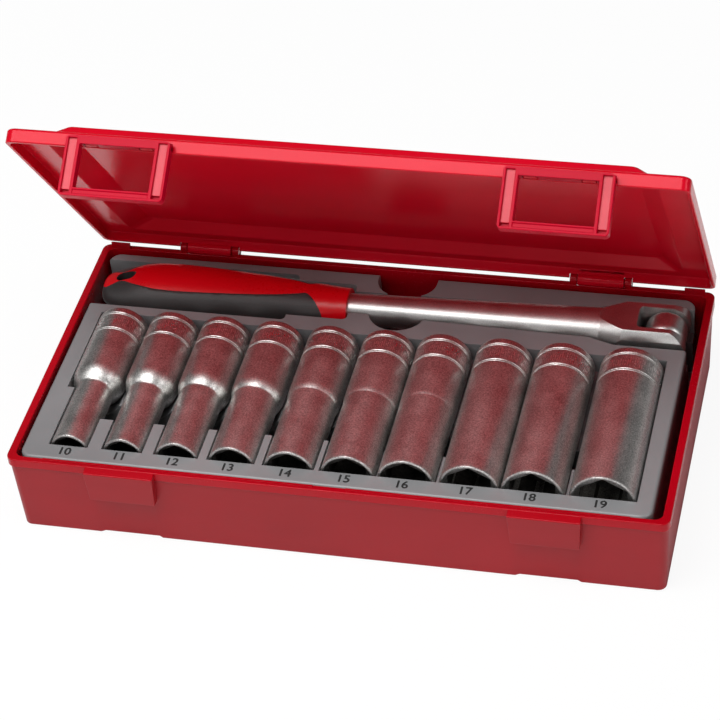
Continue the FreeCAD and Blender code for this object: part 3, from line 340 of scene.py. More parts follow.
def settle(shape, name, finish, body, replaced, sharp=32):
    """Turn millimetres into metres and put the piece on its body."""
    bmesh.ops.scale(shape, vec=(0.001, 0.001, 0.001), verts=shape.verts)
    bmesh.ops.recalc_face_normals(shape, faces=shape.faces)
    mesh = bpy.data.meshes.new(name)
    shape.to_mesh(mesh)
    shape.free()
    mesh.shade_smooth()
    mesh.set_sharp_from_angle(angle=math.radians(sharp))
    mesh.materials.append(finish)
    piece = bpy.data.objects.new(name, mesh)
    bpy.context.collection.objects.link(piece)
    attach(piece, body)
    if replaced:
        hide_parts(*replaced)
    even = piece.modifiers.new("flats_stay_flat", "WEIGHTED_NORMAL")
    even.keep_sharp = True
    return piece


def sink_panel(shape, station):
    """The soft-edged shallow panel in the front wall under a catch pad."""
    half_panel = 11.5
    soft_edge = 1.6
    panel_top = 19.5
    depth = 0.9
    lines = [
        ((station + side * reach, 0, 0), (1, 0, 0))
        for side in (-1, 1)
        for reach in (half_panel, half_panel + soft_edge)
    ]
    lines += [((0, 0, panel_top), (0, 0, 1)), ((0, 0, panel_top + soft_edge), (0, 0, 1))]
    for spot_on, facing in lines:
        front = []
        for face in shape.faces:
            if face.normal.y < -0.5 and face.calc_center_median().z < band_foot - 1:
                front.append(face)
        geometry = list(front)
        geometry += list({edge for face in front for edge in face.edges})
        geometry += list({corner for face in front for corner in face.verts})
        bmesh.ops.bisect_plane(shape, geom=geometry, dist=0.001, plane_co=spot_on, plane_no=facing)
        shape.normal_update()
    inner = []
    for corner in shape.verts:
        across = abs(corner.co.x - station) < half_panel + 0.1
        if across and corner.co.z < panel_top + 0.1 and corner.co.y < -half_depth + 2:
            inner.append(corner)
    bmesh.ops.translate(shape, vec=(0, depth, 0), verts=inner)


tub = bmesh.new()
sole = plate(tub, sole_half_length, sole_half_depth, 0, corner_round)
wall = draw_on(tub, sole, sole_half_length + sole_round, sole_half_depth + sole_round, sole_round)
wall = draw_on(tub, wall, under_band_half_length, under_band_half_depth, band_foot)
wall = draw_on(tub, wall, half_length, half_depth, band_foot)
wall = draw_on(tub, wall, half_length, half_depth, case_height)
wall = draw_on(tub, wall, inner_half_length, inner_half_depth, case_height)
draw_on(tub, wall, inner_half_length, inner_half_depth, case_floor)
for corner in tub.verts:
    if corner.co.y < -60 and corner.co.z > band_foot + 1:
        corner.co.z -= front_drop
bmesh.ops.recalc_face_normals(tub, faces=tub.faces)
for station in stations:
    sink_panel(tub, station)
band_corners = [corner for corner in tub.verts if corner.co.z > band_foot - 0.1]
round_edges(tub, rim_round, band_corners, 3)
notches = bmesh.new()
for station in stations:
    left = station - knuckle_room
    bar_x(notches, knuckle_room_radius, left, station + knuckle_room, hinge_y, hinge_z)
tub = carve(tub, notches)
extras = bmesh.new()
rim_front = case_height - front_drop
for station in stations:
    left = station - pad_half_width
    pad = block(extras, left, station + pad_half_width, pad_front, pad_root, pad_foot, rim_front)
    for corner in pad:
        low = corner.co.z < pad_foot + 1
        out_front = corner.co.y < pad_front + 1
        if out_front and not low:
            corner.co.z -= pad_slope
        if low:
            corner.co.x += math.copysign(pad_taper, station - corner.co.x)
        if out_front and low:
            corner.co.y += pad_lean
    round_edges(extras, 0.35, pad)
    for side in (-1, 1):
        near = station + side * knuckle_room
        left, right_end = sorted((near, near + side * ear_width))
        ear = bar_x(extras, ear_radius, left, right_end, hinge_y, hinge_z)
        round_edges(extras, 0.3, ear, 2)
        stem_back = half_depth + ear_radius
        stem = block(extras, left, right_end, half_depth - 0.6, stem_back, band_foot, hinge_z)
        for corner in stem:
            if corner.co.z < band_foot + 1 and corner.co.y > half_depth:
                corner.co.y = half_depth - 0.3
        round_edges(extras, 0.25, stem, 2)
    left = station - knuckle_room
    bar_x(extras, hinge_rod_radius, left, station + knuckle_room, hinge_y, hinge_z)
ridge_foot = rim_front - 0.2
for side in (-1, 1):
    low, high = sorted((side * ridge_inner_end, side * ridge_outer_end))
    ridge = block(extras, low, high, ridge_front, ridge_back, ridge_foot, ridge_foot + ridge_tall)
    round_edges(extras, 0.15, ridge, 2)
for side in (-1, 1):
    low, high = sorted((side * corner_ridge_inner_end, side * corner_ridge_outer_end))
    foot = case_height - 0.2
    tip = case_height + corner_ridge_tall
    outside = inner_half_depth + corner_ridge_width
    corner_ridge = block(extras, low, high, inner_half_depth, outside, foot, tip)
    round_edges(extras, 0.3, corner_ridge)
    for y in pip_rows:
        for z in pip_heights:
            pip = bmesh.ops.create_icosphere(extras, subdivisions=2, radius=pip_radius)["verts"]
            bmesh.ops.scale(extras, vec=(0.6, 1, 1), verts=pip)
            bmesh.ops.translate(extras, vec=(side * inner_half_length, y, z), verts=pip)
add_shape(tub, extras)
case_shell = settle(tub, "case_bottom_shell", case_red, "case_bottom", ["base_tub"])
case_shell.data.materials.append(wall_red)
for face in case_shell.data.polygons:
    middle = face.center * 1000
    out_x = abs(middle.x) > inner_half_length + 0.3
    out_y = abs(middle.y) > inner_half_depth + 0.3
    if (out_x or out_y or middle.z < 1) and middle.z < band_foot + 0.2:
        face.material_index = 1


# The lid: a moulding in the same plastic, a low skirt round a raised field, with
# snap-on hinge knuckles behind and two pairs of C hooks in front for the latches.
open_angle = math.radians(54.6)
lid_foot = 38.3
lid_top = 44.2
field_top = 49.2
lid_wall = 1.7
lid_edge_round = 0.8
field_half_length = 111.5
field_half_depth = 59.0
field_foot_half_length = 120.2
field_foot_half_depth = 61.5
field_corner = 3.0
field_wall_inset = 0.85
knuckle_half = 9.7
knuckle_radius = 3.1
ear_sweep_radius = 3.0
knuckle_bore = 1.68
knuckle_mouth_half = 1.2
hook_radius = 1.7
hook_bore = 0.96
hook_half_width = 2.5
hook_mouth_half = 0.65
latch_pivot_y = -70.4
latch_pivot_z = 39.95
hook_offset = 11.0
hook_root_front = -69.4
hook_root_back = -67.9
web_foot = 40.9
web_top = 42.5
ledge_inner_end = 122.0
ledge_outer_end = 130.9
ledge_front = -66.9
ledge_back = -65.7
ledge_foot = 40.4
ledge_top = 41.4


def swing_open(shape):
    """Turn a shape that is drawn shut to the lid's resting angle."""
    turn = Matrix.Rotation(-open_angle, 3, "X")
    bmesh.ops.rotate(shape, cent=(0, hinge_y, hinge_z), matrix=turn, verts=shape.verts)


# The lid's red is the case plastic painted much lighter, painted light for the light that shines through
# the thin lid onto its inner face.
lid_red_painted_light = clear_red(
    "lid_red_painted_light", (0.52, 0.0006, 0.009, 1), (0.62, 0.001, 0.016, 1), 0.22, 0.000004, 0.4, deep_gloss
)
lid = bmesh.new()
inside_length = half_length - lid_wall
inside_depth = half_depth - lid_wall
skin = plate(lid, field_half_length, field_half_depth, field_top, field_corner)
skin = draw_on(lid, skin, field_foot_half_length, field_foot_half_depth, lid_top)
skin = draw_on(lid, skin, half_length - lid_edge_round, half_depth - lid_edge_round, lid_top)
skin = draw_on(lid, skin, half_length, half_depth, lid_top - lid_edge_round)
skin = draw_on(lid, skin, half_length, half_depth, lid_foot)
skin = draw_on(lid, skin, inside_length, inside_depth, lid_foot)
skin = draw_on(lid, skin, inside_length, inside_depth, lid_top - lid_wall)
recess_length = field_foot_half_length - field_wall_inset
recess_depth = field_foot_half_depth - field_wall_inset
skin = draw_on(lid, skin, recess_length, recess_depth, lid_top - lid_wall)
recess_length = field_half_length - field_wall_inset
recess_depth = field_half_depth - field_wall_inset
draw_on(lid, skin, recess_length, recess_depth, field_top - lid_wall)
bmesh.ops.recalc_face_normals(lid, faces=lid.faces)
round_edges(lid, 0.5, None, 3, 0.4)
ear_rooms = bmesh.new()
for station in stations:
    reach = knuckle_room + ear_width + 0.3
    bar_x(ear_rooms, ear_sweep_radius, station - reach, station + reach, hinge_y, hinge_z)
lid = carve(lid, ear_rooms)
knuckles = bmesh.new()
knuckle_rooms = bmesh.new()
hooks = bmesh.new()
hook_rooms = bmesh.new()
for station in stations:
    left, right_end = station - knuckle_half, station + knuckle_half
    barrel = bar_x(knuckles, knuckle_radius, left, right_end, hinge_y, hinge_z)
    round_edges(knuckles, 0.25, barrel, 2)
    left, right_end = station - 11, station + 11
    mouth_back, mouth_front = hinge_y - knuckle_mouth_half, hinge_y + knuckle_mouth_half
    bar_x(knuckle_rooms, knuckle_bore, left, right_end, hinge_y, hinge_z)
    block(knuckle_rooms, left, right_end, mouth_back, mouth_front, hinge_z - 6, hinge_z - 0.4)
    for side in (-1, 1):
        middle = station + side * hook_offset
        left, right_end = middle - hook_half_width, middle + hook_half_width
        eye = bar_x(hooks, hook_radius, left, right_end, latch_pivot_y, latch_pivot_z)
        round_edges(hooks, 0.2, eye, 2)
        left, right_end = middle - 3, middle + 3
        low, high = latch_pivot_z - hook_mouth_half, latch_pivot_z + hook_mouth_half
        block(hook_rooms, left, right_end, -74, latch_pivot_y, low, high)
        bar_x(hook_rooms, hook_bore, left, right_end, latch_pivot_y, latch_pivot_z)
add_shape(lid, carve(knuckles, knuckle_rooms))
add_shape(lid, carve(hooks, hook_rooms))
fittings = bmesh.new()
for station in stations:
    left, right_end = station - knuckle_half, station + knuckle_half
    web = block(fittings, left, right_end, inside_depth, hinge_y + 1.5, web_foot, web_top)
    round_edges(fittings, 0.3, web, 2)
    for side in (-1, 1):
        middle = station + side * hook_offset
        left, right_end = middle - hook_half_width, middle + hook_half_width
        low, high = latch_pivot_z - 0.8, latch_pivot_z + hook_radius
        block(fittings, left, right_end, hook_root_front, hook_root_back, low, high)
for side in (-1, 1):
    low, high = sorted((side * ledge_inner_end, side * ledge_outer_end))
    ledge = block(fittings, low, high, ledge_front, ledge_back, ledge_foot, ledge_top)
    round_edges(fittings, 0.3, ledge, 2)
add_shape(lid, fittings)
swing_open(lid)
settle(lid, "lid_shell", lid_red_painted_light, "lid", ["lid"])


# The latches: open rectangular frames in the same plastic, their side bars channelled
# to save weight, each hung by its rod from two hooks and free to swing.
latch_gloss = (1, 0.6, 0.65, 1)
latch_red = clear_red(
    "latch_red", (0.42, 0.0006, 0.014, 1), (0.52, 0.001, 0.022, 1), 0.3, 0.000004, 0.12, latch_gloss
)
# The floors of the latch channels: the latch red painted lighter and pinker, painted light for the lamp's
# light glowing through the thin floors.
latch_channel_painted_light = clear_red(
    "latch_channel_painted_light", (0.5, 0.018, 0.035, 1), (0.68, 0.05, 0.075, 1), 0.3, 0.000004, 0.25, plain_gloss
)
latch_half_width = 20.8
latch_top = 41.6
latch_foot = 17.5
window_half_width = 15.0
window_top = 38.3
window_foot = 20.9
latch_front = -73.2
latch_back = -69.0
latch_corner = 1.8
heel_relief = 0.8
heel_radius = 1.6
latch_rod_radius = 0.9
frame_lip = 1.0
channel_inner = window_half_width + 1.3
channel_outer = latch_half_width - 1.1
channel_depth = 1.2
lower_bar_depth = 0.5
foot_step = 2.6


def sink(latch, left, right_end, foot, top, depth):
    """Press in the front faces that lie between these places, on both sides."""
    chosen = []
    for face in latch.faces:
        middle = face.calc_center_median()
        inside = left < abs(middle.x) < right_end and foot < middle.z < top
        if inside and middle.y < latch_front + 2.5 and face.normal.y < -0.5:
            chosen.append(face)
    rims = list({edge for face in chosen for edge in face.edges})
    pressed = bmesh.ops.extrude_face_region(latch, geom=chosen + rims)["geom"]
    floor_corners = [part for part in pressed if isinstance(part, bmesh.types.BMVert)]
    bmesh.ops.translate(latch, vec=(0, depth, 0), verts=floor_corners)
    latch.normal_update()


for node, station in zip(("latch_left", "latch_right"), stations):
    latch = bmesh.new()
    plate(latch, latch_half_width, (latch_top - latch_foot) / 2, 0, latch_corner)
    turn = Matrix.Rotation(math.pi / 2, 3, "X")
    bmesh.ops.rotate(latch, cent=(0, 0, 0), matrix=turn, verts=latch.verts)
    bmesh.ops.translate(latch, vec=(0, latch_front, (latch_top + latch_foot) / 2), verts=latch.verts)
    uprights = (window_half_width, channel_inner, channel_outer)
    bar_foot = latch_foot + frame_lip
    bar_step = latch_foot + foot_step
    bar_top = latch_top - frame_lip
    levels = (bar_foot, bar_step, window_foot, window_top, bar_top)
    lines = [((side * x, 0, 0), (1, 0, 0)) for side in (-1, 1) for x in uprights]
    lines += [((0, 0, z), (0, 0, 1)) for z in levels]
    for spot_on, facing in lines:
        everything = latch.verts[:] + latch.edges[:] + latch.faces[:]
        bmesh.ops.bisect_plane(latch, geom=everything, dist=0.001, plane_co=spot_on, plane_no=facing)
    gone = []
    for face in latch.faces:
        middle = face.calc_center_median()
        if abs(middle.x) < window_half_width and window_foot < middle.z < window_top:
            gone.append(face)
    bmesh.ops.delete(latch, geom=gone, context="FACES")
    front_faces = latch.faces[:]
    grown = bmesh.ops.extrude_face_region(latch, geom=front_faces)["geom"]
    moved = [part for part in grown if isinstance(part, bmesh.types.BMVert)]
    bmesh.ops.translate(latch, vec=(0, latch_back - latch_front, 0), verts=moved)
    for corner in moved:
        if corner.co.z > latch_top - 0.1:
            corner.co.y -= heel_relief
    bmesh.ops.recalc_face_normals(latch, faces=latch.faces)
    latch.normal_update()
    sink(latch, channel_inner, channel_outer, bar_foot, bar_top, channel_depth)
    sink(latch, channel_inner, channel_outer, bar_foot, bar_step, channel_depth)
    sink(latch, -1, window_half_width, bar_foot, bar_step, lower_bar_depth)
    round_edges(latch, 0.28, None, 2)
    rod_rooms = bmesh.new()
    for side in (-1, 1):
        middle = side * hook_offset
        left, right_end = middle - hook_half_width - 0.4, middle + hook_half_width + 0.4
        block(rod_rooms, left, right_end, -72.5, -68, window_top - 1, latch_top + 1)
    latch = carve(latch, rod_rooms)
    latch.normal_update()
    # The channel floors take the lighter red, painted light.
    for face in latch.faces:
        middle = face.calc_center_median()
        in_bar = channel_inner < abs(middle.x) < channel_outer
        on_floor = abs(middle.y - latch_front - channel_depth) < 0.05
        if in_bar and on_floor and face.normal.y < -0.9:
            face.material_index = 1
    heel = bmesh.new()
    left, right_end = -latch_half_width, latch_half_width
    heel_bar = bar_x(heel, heel_radius, left, right_end, latch_pivot_y, latch_pivot_z)
    round_edges(heel, 0.2, heel_bar, 2)
    add_shape(latch, carve(heel, rod_rooms))
    bar_x(latch, latch_rod_radius, left + 1, right_end - 1, latch_pivot_y, latch_pivot_z, 24)
    bmesh.ops.translate(latch, vec=(station, 0, 0), verts=latch.verts)
    swing_open(latch)
    frame_piece = settle(latch, node + "_frame", latch_red, node, [node])
    frame_piece.data.materials.append(latch_channel_painted_light)


# The tray: one grey moulding standing on the case floor, hollow underneath, with soft
# edges, a pocket for every tool and finger room at the middle of the handle.
tray_finish = Finish("tray_grey")
tray_cloud = tray_finish.noise(25, 3)
tray_fine = tray_finish.noise(1400, 3)
tray_grey = tray_finish.surface(
    {
        "Base Color": tray_finish.ramp(
            tray_cloud, [(0.3, (0.195, 0.195, 0.2, 1)), (0.7, (0.235, 0.235, 0.24, 1))]
        ),
        "Roughness": 0.32 + (tray_fine - 0.5) * 0.16,
        "Normal": tray_finish.bump(tray_fine, 0.00002),
    }
)
tray_top = 37.0


def merged_copy(node):
    """A copy of a carried-over solid in millimetres, its doubles merged, its flats whole."""
    shape = bmesh.new()
    shape.from_mesh(bpy.data.objects[node].data)
    bmesh.ops.scale(shape, vec=(1000, 1000, 1000), verts=shape.verts)
    bmesh.ops.remove_doubles(shape, verts=shape.verts, dist=0.002)
    bmesh.ops.dissolve_limit(
        shape, angle_limit=math.radians(0.5), verts=shape.verts, edges=shape.edges, delimit=set()
    )
    return shape


def ease(piece, width, segments=3, least=35):
    """Round a finished piece's sharp edges."""
    rounding = piece.modifiers.new("eased_edges", "BEVEL")
    rounding.width = width
    rounding.segments = segments
    rounding.limit_method = "ANGLE"
    rounding.angle_limit = math.radians(least)
    rounding.use_clamp_overlap = True
    rounding.miter_outer = "MITER_ARC"
    piece.modifiers.move(len(piece.modifiers) - 1, 0)


tray_shape = merged_copy("socket_tray")
tray = settle(tray_shape, "tool_tray", tray_grey, "case_bottom", ["socket_tray"])
ease(tray, 0.0004)


# The ten deep sockets: turned and forged steel, satin chrome plated, with a rounded lip
# at the mouth, a hexagon inside it, two rings round the drive end and a square behind.
socket_finish = Finish("socket_steel")
wrap = socket_finish.signal("ShaderNodeUVMap", "UV", {"uv_map": "round"})
wrap_parts = socket_finish.node("ShaderNodeSeparateXYZ", None, {"Vector": wrap})
around = Signal(socket_finish, wrap_parts.outputs["X"])
along = Signal(socket_finish, wrap_parts.outputs["Y"])
blast = socket_finish.noise(1700, 2)
smear = socket_finish.noise(120, 4)
tick_count = 84
tick_band_start = 0.845
tick_band_end = 0.915
tick = socket_finish.signal("ShaderNodeMath", 0, {"operation": "FRACT"}, {0: around * tick_count})
tick_break = socket_finish.signal(
    "ShaderNodeTexNoise", "Fac", None, {"Vector": wrap, "Scale": 46, "Detail": 1}
)
tick_band = (along > tick_band_start) * (along < tick_band_end)
ticks = (tick < 0.5) * tick_band * (tick_break > 0.5)
socket_steel = socket_finish.surface(
    {
        "Base Color": socket_finish.ramp(
            blast * 0.75 + smear * 0.25 + ticks * 0.6,
            [(0.34, (0.36, 0.355, 0.345, 1)), (0.62, (0.74, 0.73, 0.71, 1)), (1.0, (0.92, 0.91, 0.9, 1))],
        ),
        "Metallic": 1.0,
        "Roughness": 0.4 + (smear - 0.5) * 0.1 - ticks * 0.12,
        "Normal": socket_finish.bump(blast - ticks * 1.5, 0.00004),
    }
)
# The steel inside the hexagon and the drive square: rougher than the outside, and coloured much darker as
# painted shade for the deep bores.
bore_finish = Finish("bore_steel_painted_shade")
bore_blast = bore_finish.noise(900, 3)
bore_steel_painted_shade = bore_finish.surface(
    {
        "Base Color": bore_finish.ramp(
            bore_blast, [(0.3, (0.1, 0.095, 0.09, 1)), (0.7, (0.2, 0.19, 0.18, 1))]
        ),
        "Metallic": 1.0,
        "Roughness": 0.5 + (bore_blast - 0.5) * 0.2,
    }
)
mouth_y = -56.8
socket_length = 77.0
socket_axis_z = 34.2
body_length = 35.4
crest_curve = 10.0
throat_curve = 2.2
lip_start = 0.35
mouth_wall = 1.2
hexagon_depth = 18.0
back_opening = 9.6
square_half = 6.45
square_lead = 0.4
square_depth = 16.0
ring_depth = 0.14
ring_places = (14.1, 4.5)
ring_grooves = ((-0.75, -0.55, -0.35, -0.2), (0.2, 0.35, 0.55, 0.75))
socket_places = {
    10: (-109.4, 15.5, 21.6),
    11: (-87.1, 16.3, 21.6),
    12: (-64.8, 17.8, 21.6),
    13: (-42.2, 19.0, 21.6),
    14: (-18.8, 20.4, 21.6),
    15: (4.8, 21.6, 22.4),
    16: (28.0, 22.6, 23.0),
    17: (53.1, 23.8, 23.8),
    18: (77.9, 24.8, 24.8),
    19: (105.2, 26.0, 26.0),
}
turns = 96


def lathe(shape, outline):
    """Spin (radius, y) points about the Y axis into a skin."""
    points = [shape.verts.new((radius, y, 0)) for radius, y in outline]
    lines = [shape.edges.new(pair) for pair in zip(points, points[1:])]
    bmesh.ops.spin(
        shape,
        geom=points + lines,
        cent=(0, 0, 0),
        axis=(0, 1, 0),
        dvec=(0, 0, 0),
        angle=2 * math.pi,
        steps=turns,
        use_merge=True,
    )


def loop_at(shape, y, least, most):
    """The edges of the loop at this depth whose corners lie between two radii."""
    chosen = []
    for edge in shape.edges:
        spots = [corner.co for corner in edge.verts]
        flat = all(abs(spot_on.y - y) < 0.001 for spot_on in spots)
        inside = all(least <= math.hypot(spot_on.x, spot_on.z) <= most for spot_on in spots)
        if flat and inside and len(edge.link_faces) < 2:
            chosen.append(edge)
    return chosen


def shaped_hole(shape, rim, sides, corner_radius, turn, start_y, end_y):
    """Bridge a round rim to a hexagon or square and carry that down to its floor."""
    made = bmesh.ops.create_circle(shape, segments=sides, radius=corner_radius)["verts"]
    edges = list({edge for corner in made for edge in corner.link_edges})
    bmesh.ops.subdivide_edges(shape, edges=edges, cuts=turns // sides - 1)
    made = [corner for corner in shape.verts if not corner.link_faces and abs(corner.co.z) < 0.001]
    placing = Matrix.Rotation(math.pi / 2, 3, "X")
    bmesh.ops.rotate(shape, cent=(0, 0, 0), matrix=Matrix.Rotation(turn, 3, "Z"), verts=made)
    bmesh.ops.rotate(shape, cent=(0, 0, 0), matrix=placing, verts=made)
    bmesh.ops.translate(shape, vec=(0, start_y, 0), verts=made)
    loop = list({edge for corner in made for edge in corner.link_edges})
    bmesh.ops.bridge_loops(shape, edges=rim + loop)
    grown = bmesh.ops.extrude_edge_only(shape, edges=loop)["geom"]
    floor_corners = [part for part in grown if isinstance(part, bmesh.types.BMVert)]
    bmesh.ops.translate(shape, vec=(0, end_y - start_y, 0), verts=floor_corners)
    reached = set(floor_corners)
    return [edge for edge in shape.edges if edge.verts[0] in reached and edge.verts[1] in reached]


for size, (x, nose, drive) in socket_places.items():
    nose_radius = nose / 2
    drive_radius = drive / 2
    opening = nose_radius - mouth_wall
    hexagon_corner = size / math.sqrt(3)
    outline = [(opening, lip_start), (opening + 0.2, 0.08), (nose_radius - 0.6, 0)]
    outline += [(nose_radius - 0.18, 0.18), (nose_radius, 0.6), (nose_radius, 2.0)]
    if nose < drive:
        slope = math.acos(1 - (drive_radius - nose_radius) / (crest_curve + throat_curve))
        shoulder_end = socket_length - body_length
        shoulder_start = shoulder_end - (crest_curve + throat_curve) * math.sin(slope)
        outline.append((nose_radius, shoulder_start - 3))
        for step in range(7):
            turned = slope * step / 6
            rise = nose_radius + throat_curve * (1 - math.cos(turned))
            outline.append((rise, shoulder_start + throat_curve * math.sin(turned)))
        for step in range(1, 11):
            turned = slope * (1 - step / 10)
            rise = drive_radius - crest_curve * (1 - math.cos(turned))
            outline.append((rise, shoulder_end - crest_curve * math.sin(turned)))
        outline.append((drive_radius, shoulder_end + 1.5))
    for place in ring_places:
        middle = socket_length - place
        groove_radius = drive_radius - ring_depth
        for start, floor_start, floor_end, end in ring_grooves:
            outline += [(drive_radius, middle + start), (groove_radius, middle + floor_start)]
            outline += [(groove_radius, middle + floor_end), (drive_radius, middle + end)]
    outline += [(drive_radius, socket_length - 1.7), (drive_radius - 0.2, socket_length - 0.9)]
    outline += [(drive_radius - 0.9, socket_length - 0.15), (drive_radius - 1.4, socket_length)]
    outline.append((back_opening, socket_length))
    shape = bmesh.new()
    lathe(shape, outline)
    hexagon_start = lip_start + (opening - hexagon_corner) * 1.1
    rim = loop_at(shape, lip_start, opening - 0.1, opening + 0.1)
    floor_loop = shaped_hole(shape, rim, 6, hexagon_corner, 0, hexagon_start, hexagon_depth)
    bmesh.ops.holes_fill(shape, edges=floor_loop, sides=0)
    rim = loop_at(shape, socket_length, back_opening - 0.1, back_opening + 0.1)
    square_corner = square_half * math.sqrt(2)
    square_start = socket_length - square_lead
    square_end = socket_length - square_depth
    square_loop = shaped_hole(shape, rim, 4, square_corner, math.pi / 4, square_start, square_end)
    bmesh.ops.holes_fill(shape, edges=square_loop, sides=0)
    wrapped = shape.loops.layers.uv.new("round")
    for face in shape.faces:
        middle = face.calc_center_median()
        reference = math.atan2(middle.z, middle.x) / (2 * math.pi)
        for loop in face.loops:
            turned = math.atan2(loop.vert.co.z, loop.vert.co.x) / (2 * math.pi)
            turned -= round(turned - reference)
            loop[wrapped].uv = (turned, loop.vert.co.y / socket_length)
    # Faces inside the mouth and the square take the darker bore steel, painted shade.
    for face in shape.faces:
        middle = face.calc_center_median()
        if math.hypot(middle.x, middle.z) < min(opening, back_opening) - 0.05:
            face.material_index = 1
    bmesh.ops.translate(shape, vec=(x, mouth_y, socket_axis_z), verts=shape.verts)
    node = "socket_%dmm" % size
    socket = settle(shape, "deep_" + node, socket_steel, node, [node], 24)
    socket.data.materials.append(bore_steel_painted_shade)


# The printed numbers: black ink on the front ledge of the tray, one under each mouth.
ink_finish = Finish("black_ink")
ink_speckle = ink_finish.noise(3000, 2)
black_ink = ink_finish.surface(
    {
        "Base Color": ink_finish.ramp(
            ink_speckle, [(0.3, (0.008, 0.008, 0.008, 1)), (0.8, (0.03, 0.03, 0.03, 1))]
        ),
        "Roughness": 0.45,
    }
)
number_height = 3.9
number_y = -60.6
ink_proud = 0.012
ink_spread = ((0.16, 0, 0), (-0.3, 0, 0.002), (0.15, 0.13, 0.002), (0, -0.26, 0.002))
numbers = bmesh.new()
for size, (x, nose, drive) in socket_places.items():
    words = bpy.data.curves.new("number", "FONT")
    words.body = str(size)
    words.align_x = "CENTER"
    words.extrude = 0.01
    carrier = bpy.data.objects.new("number", words)
    bpy.context.collection.objects.link(carrier)
    evaluated = carrier.evaluated_get(bpy.context.evaluated_depsgraph_get())
    figure = bmesh.new()
    figure.from_mesh(evaluated.to_mesh())
    evaluated.to_mesh_clear()
    bpy.data.objects.remove(carrier)
    across = [corner.co.x for corner in figure.verts]
    up_down = [corner.co.y for corner in figure.verts]
    factor = number_height / (max(up_down) - min(up_down))
    centre = (max(across) + min(across)) / 2
    number_foot = number_y - number_height / 2
    bmesh.ops.translate(figure, vec=(-centre, 0, 0), verts=figure.verts)
    bmesh.ops.scale(figure, vec=(factor, factor, 1), verts=figure.verts)
    bmesh.ops.translate(figure, vec=(x, number_foot, tray_top + ink_proud), verts=figure.verts)
    for shift in ink_spread:
        bmesh.ops.translate(figure, vec=shift, verts=figure.verts)
        add_shape(numbers, figure)
settle(numbers, "printed_numbers", black_ink, "case_bottom", None)


# The handle's steel: one forging with a round tapering shank that spreads into a fork,
# satin chrome plated, its edges worn soft by the dies.
shank_finish = Finish("shank_steel")
shank_blast = shank_finish.noise(2200, 2)
shank_smear = shank_finish.noise(90, 4)
shank_steel = shank_finish.surface(
    {
        "Base Color": shank_finish.ramp(
            shank_blast * 0.6 + shank_smear * 0.4,
            [(0.3, (0.5, 0.49, 0.48, 1)), (0.7, (0.72, 0.71, 0.7, 1))],
        ),
        "Metallic": 1.0,
        "Roughness": 0.38 + (shank_smear - 0.5) * 0.1,
        "Normal": shank_finish.bump(shank_blast, 0.000012),
    }
)
handle_y = 44.4
handle_z = 33.5
collar_x = -17.5
taper_x = 88.4
fork_x = 98.6
slot_x = 104.0
pivot_x = 115.3
fork_half_width = 11.25
fork_half_height = 8.7
fork_end = 9.0
fork_round = 12.4
tail_radius = 5.0
tail_length = 70
collar_radius = 6.4
taper_radius = 9.0
slot_half_width = 6.5
slot_corner = 2.0
slot_half_length = 20
side_band = 8.6
pin_radius = 3.0
beyond = 20
shank_shape = bmesh.new()
tail_x = collar_x - tail_length
tip_x = pivot_x + fork_end
shank_outline = [(0, tail_x), (tail_radius, tail_x), (tail_radius, collar_x)]
shank_outline += [(collar_radius, collar_x), (taper_radius, taper_x)]
shank_outline += [(taper_radius + 0.2, taper_x + 0.8), (fork_round - 0.3, fork_x - 0.8)]
shank_outline += [(fork_round, fork_x), (fork_round, tip_x), (0, tip_x)]
lathe(shank_shape, shank_outline)
along_x = Matrix.Rotation(-math.pi / 2, 3, "Z")
along_y = Matrix.Rotation(math.pi / 2, 3, "Z")
bmesh.ops.rotate(shank_shape, cent=(0, 0, 0), matrix=along_x, verts=shank_shape.verts)
bmesh.ops.recalc_face_normals(shank_shape, faces=shank_shape.faces)
sides_off = bmesh.new()
flats_from = taper_x + 0.01
flats_to = pivot_x + beyond
for way in (-1, 1):
    low, high = sorted((way * fork_half_width, way * beyond))
    block(sides_off, flats_from, flats_to, low, high, -side_band, side_band)
    low, high = sorted((way * fork_half_height, way * beyond))
    block(sides_off, flats_from, flats_to, -beyond, beyond, low, high)
shank_shape = carve(shank_shape, sides_off)
slot = bmesh.new()
slot_face = plate(slot, slot_half_length, slot_half_width, -beyond, slot_corner)
draw_on(slot, slot_face, slot_half_length, slot_half_width, beyond)
bmesh.ops.translate(slot, vec=(slot_x + slot_half_length, 0, 0), verts=slot.verts)
shank_shape = carve(shank_shape, slot)
corner_off = bmesh.new()
for way in (-1, 1):
    low, high = sorted((0, way * beyond))
    block(corner_off, pivot_x, flats_to, -beyond, beyond, low, high)
rounder = bmesh.new()
bar = bar_x(rounder, fork_end, -beyond - 1, beyond + 1, 0, 0, 64)
bmesh.ops.rotate(rounder, cent=(0, 0, 0), matrix=along_y, verts=bar)
bmesh.ops.translate(rounder, vec=(pivot_x, 0, 0), verts=bar)
shank_shape = carve(shank_shape, carve(corner_off, rounder))
pin_hole = bmesh.new()
bar = bar_x(pin_hole, pin_radius, -beyond, beyond, 0, 0, 48)
bmesh.ops.rotate(pin_hole, cent=(0, 0, 0), matrix=along_y, verts=bar)
bmesh.ops.translate(pin_hole, vec=(pivot_x, 0, 0), verts=bar)
shank_shape = carve(shank_shape, pin_hole)
bmesh.ops.translate(shank_shape, vec=(0, handle_y, handle_z), verts=shank_shape.verts)
shank = settle(shank_shape, "forged_shank", shank_steel, "handle", ["handle_shank"], 24)
ease(shank, 0.0005, 3, 24)
head_copy = merged_copy("swivel_head")
head = settle(
    head_copy, "drive_head_forging", shank_steel, "drive_head", ["swivel_head"]
)
ease(head, 0.0003, 2, 30)
pin = settle(merged_copy("pivot_pin"), "fork_pin", shank_steel, "handle", ["pivot_pin"])
ease(pin, 0.0003, 2, 35)


